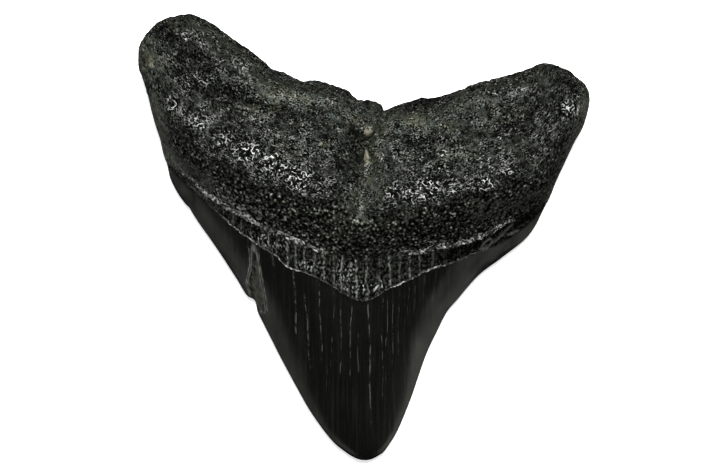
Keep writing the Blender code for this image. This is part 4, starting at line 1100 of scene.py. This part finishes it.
def fossil_enamel(finish):
    """Enamel turned black and rubbed smooth: a soft sheen, fine growth lines, pale cracks and one scar."""
    material, tree, surface, fields = new_material(
        "enamel_black_polished", "crack_at", "crack_show", "scar", "mark", "light_and_shade"
    )
    crack_at, crack_show, scar, mark, light_and_shade = fields
    node = partial(add, tree)
    mm = millimetres(tree)
    rows = []
    for down, through, size, detail, rough in (CRACK_BREAKS, GROWTH_LINES, SCAR_STREAKS, SHEEN, RUB_MARKS):
        rows.append((node("VectorMath", (mm, (1.0, down, through)), **TIMES), 1 / size, detail, rough))
    breaks, growth, streaks, sheen, rub = add_each(tree, "TexNoise", NOISE, *rows)

    crack = node("MapRange", (whole_number_near(tree, crack_at), 0.0, 0.09, 1.0, 0.0), **EASED)
    for share in (crack_show, node("MapRange", (breaks, 0.43, 0.6, 0.05, 1.05), **EASED)):
        crack = node("Math", (crack, share), **TIMES)
    bump = node("Bump", {"Height": added_up(tree, growth, (crack, -0.8)), "Distance": GROWTH_DEPTH * MM})
    bump = node("Bump", {"Height": rub, "Distance": RUB_DEPTH * MM, "Normal": bump})

    # the scar broke through to dentine: it is streaked along the break and has a pale lip; marks lie over it
    uncovered = node("MapRange", (scar, 0.05, 0.3), **EASED)
    uncovered = node("Math", (uncovered, node("MapRange", (streaks, 0.42, 0.62, 0.0, 0.7), **EASED)), **TIMES)
    lip = near(tree, added_up(tree, -0.16, (scar, 1.0)), 0.04, 0.13)
    lip = node("Math", (lip, node("MapRange", (streaks, 0.35, 0.6, 0.02, 0.12), **EASED)), **TIMES)
    scratch = node("MapRange", (mark, 0.3, 1.0), **EASED)
    scratch = node("Math", (scratch, node("MapRange", (streaks, 0.35, 0.55, 0.05, 0.2), **EASED)), **TIMES)
    colour = painted(
        tree, finish.enamel,
        (node("MapRange", (growth, 0.45, 0.75, 0.0, 0.45), **EASED), finish.bone),
        (uncovered, finish.dentine),
        (lip, finish.glint_and_pale_mark),
        (crack, finish.crack),
        (scratch, finish.glint_and_pale_mark),
        # the enamel's crumbling edge, with a glint painted along it
        (crumbly_glint_line(tree, mm, "enamel", *ENAMEL_CRUMBS), finish.glint_and_pale_mark),
    )  # fmt: skip
    roughness = node("MapRange", (rub, 0.3, 0.7, 0.19, 0.25), **EASED)
    roughness = added_up(tree, roughness, (uncovered, 0.2))
    # the bands of painted light and shade also make the enamel shine more where they paint light, less where
    # shade
    gloss = added_up(tree, 0.15, (light_and_shade, 1.2), (sheen, 0.7))
    fill(tree, surface, dict(zip(LOOKS, (colour, roughness, gloss, bump))))
    fill(tree, surface, {"IOR": ENAMEL_IOR, "Specular Tint": ENAMEL_TINT})
    return material


class FOSSILTOOTH_OT_tooth(bpy.types.Operator):
    """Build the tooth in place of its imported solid"""

    bl_idname = "fossil_tooth.tooth"
    bl_label = "Build Tooth"

    def execute(self, context):
        scene = context.scene
        finish = scene.fossil_finish
        materials = [fossil_bone(finish), fossil_bourlette(finish), fossil_enamel(finish)]
        mesh = tooth_mesh("dressed_tooth", scene.fossil_shape, materials)
        tooth = bpy.data.objects.new("dressed_tooth", mesh)
        scene.collection.objects.link(tooth)
        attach(tooth, BODY)
        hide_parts(NODE)
        return {"FINISHED"}


# The light table and the soft lights, in metres: each light's place, and its width and height
TABLE_HALF = 3.0
KEY_LIGHT = (0.04, 0.44, 0.92), (0.34, 0.22)
OVERHEAD_LIGHT = (0.0, 0.78, 0.82), (1.5, 0.75)
RIGHT_LIGHT = (1.05, -0.32, -0.25), (1.7, 0.78)
LEFT_LIGHT = (-1.05, -0.32, -0.17), (2.5, 0.58)
LIT_MIDDLE = (0, 0, 0.008)  # what they all face


def softbox(scene, name, place, size, radiance):
    """A rectangular soft light with an even face of that radiance, turned to the middle of the tooth."""
    data = bpy.data.lights.new(name, "AREA")
    data.shape = "RECTANGLE"
    data.size, data.size_y = size
    data.energy = radiance * size[0] * size[1] * math.pi
    light = bpy.data.objects.new(name, data)
    light.location = place
    light.rotation_euler = (Vector(LIT_MIDDLE) - Vector(place)).to_track_quat("-Z", "Y").to_euler()
    scene.collection.objects.link(light)


class FOSSILTOOTH_OT_stage(bpy.types.Operator):
    """Set out the light table, the soft lights and the camera"""

    bl_idname = "fossil_tooth.stage"
    bl_label = "Set Stage"

    def execute(self, context):
        scene = context.scene
        stage = scene.fossil_stage
        table_mesh = bpy.data.meshes.new("light_table")
        corners = [(TABLE_HALF * x, TABLE_HALF * y, 0) for x, y in ((-1, -1), (1, -1), (1, 1), (-1, 1))]
        table_mesh.from_pydata(corners, [], [(0, 1, 2, 3)])
        table = bpy.data.objects.new("light_table", table_mesh)
        scene.collection.objects.link(table)
        material, tree, surface, _ = new_material("opal_acrylic_lit")
        fill(tree, surface, {"Base Color": stage.floor, "Roughness": 0.9, "Specular IOR Level": 0.0})
        fill(tree, surface, {"Emission Color": stage.floor, "Emission Strength": stage.floor_glow})
        table_mesh.materials.append(material)
        table.visible_glossy = False  # black flags round the tooth keep the lit table out of its polish
        table.visible_shadow = False  # and let the side panels shine in below its level

        softbox(scene, "key_softbox", *KEY_LIGHT, stage.key)
        softbox(scene, "overhead_panel", *OVERHEAD_LIGHT, stage.overhead)
        softbox(scene, "right_panel", *RIGHT_LIGHT, stage.right_fill)
        softbox(scene, "left_panel", *LEFT_LIGHT, stage.left_fill)

        world = bpy.data.worlds.new("dim_room")
        scene.world = world
        world.use_nodes = True
        glow = world.node_tree.nodes["Background"]
        fill(world.node_tree, glow, {"Color": (1, 1, 1, 1), "Strength": stage.room})
        scene.view_settings.view_transform = "Standard"

        data = bpy.data.cameras.new("portrait")
        camera = bpy.data.objects.new("portrait", data)
        camera.location = (VIEW_MIDDLE[0] * MM, VIEW_MIDDLE[1] * MM, stage.camera_height)
        data.lens = data.sensor_width * (stage.camera_height - FOCUS_HEIGHT * MM) / (VIEW_WIDTH * MM)
        scene.collection.objects.link(camera)
        scene.camera = camera
        return {"FINISHED"}


class FOSSILTOOTH_PT_panel(bpy.types.Panel):
    """Lists the tooth's settings and the buttons that build it"""

    bl_idname = "FOSSILTOOTH_PT_panel"
    bl_label = "Fossil Tooth"
    bl_space_type = "VIEW_3D"
    bl_region_type = "UI"
    bl_category = "Fossil Tooth"

    def draw(self, context):
        scene = context.scene
        for group, operator in (
            (scene.fossil_shape, FOSSILTOOTH_OT_tooth),
            (scene.fossil_finish, None),
            (scene.fossil_stage, FOSSILTOOTH_OT_stage),
        ):
            column = self.layout.column()
            for name in group.__annotations__:
                column.prop(group, name)
            if operator:
                column.operator(operator.bl_idname)


CLASSES = (
    ToothShape,
    ToothFinish,
    StageSettings,
    FOSSILTOOTH_OT_tooth,
    FOSSILTOOTH_OT_stage,
    FOSSILTOOTH_PT_panel,
)


def register():
    """Registers the classes and gives each scene the tooth's settings."""
    for cls in CLASSES:
        bpy.utils.register_class(cls)
    bpy.types.Scene.fossil_shape = PointerProperty(type=ToothShape)
    bpy.types.Scene.fossil_finish = PointerProperty(type=ToothFinish)
    bpy.types.Scene.fossil_stage = PointerProperty(type=StageSettings)


def unregister():
    """Takes back what register did."""
    del bpy.types.Scene.fossil_stage
    del bpy.types.Scene.fossil_finish
    del bpy.types.Scene.fossil_shape
    for cls in reversed(CLASSES):
        bpy.utils.unregister_class(cls)


def main():
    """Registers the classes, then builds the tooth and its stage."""
    register()
    bpy.ops.fossil_tooth.tooth()
    bpy.ops.fossil_tooth.stage()


if __name__ == "__main__":
    main()
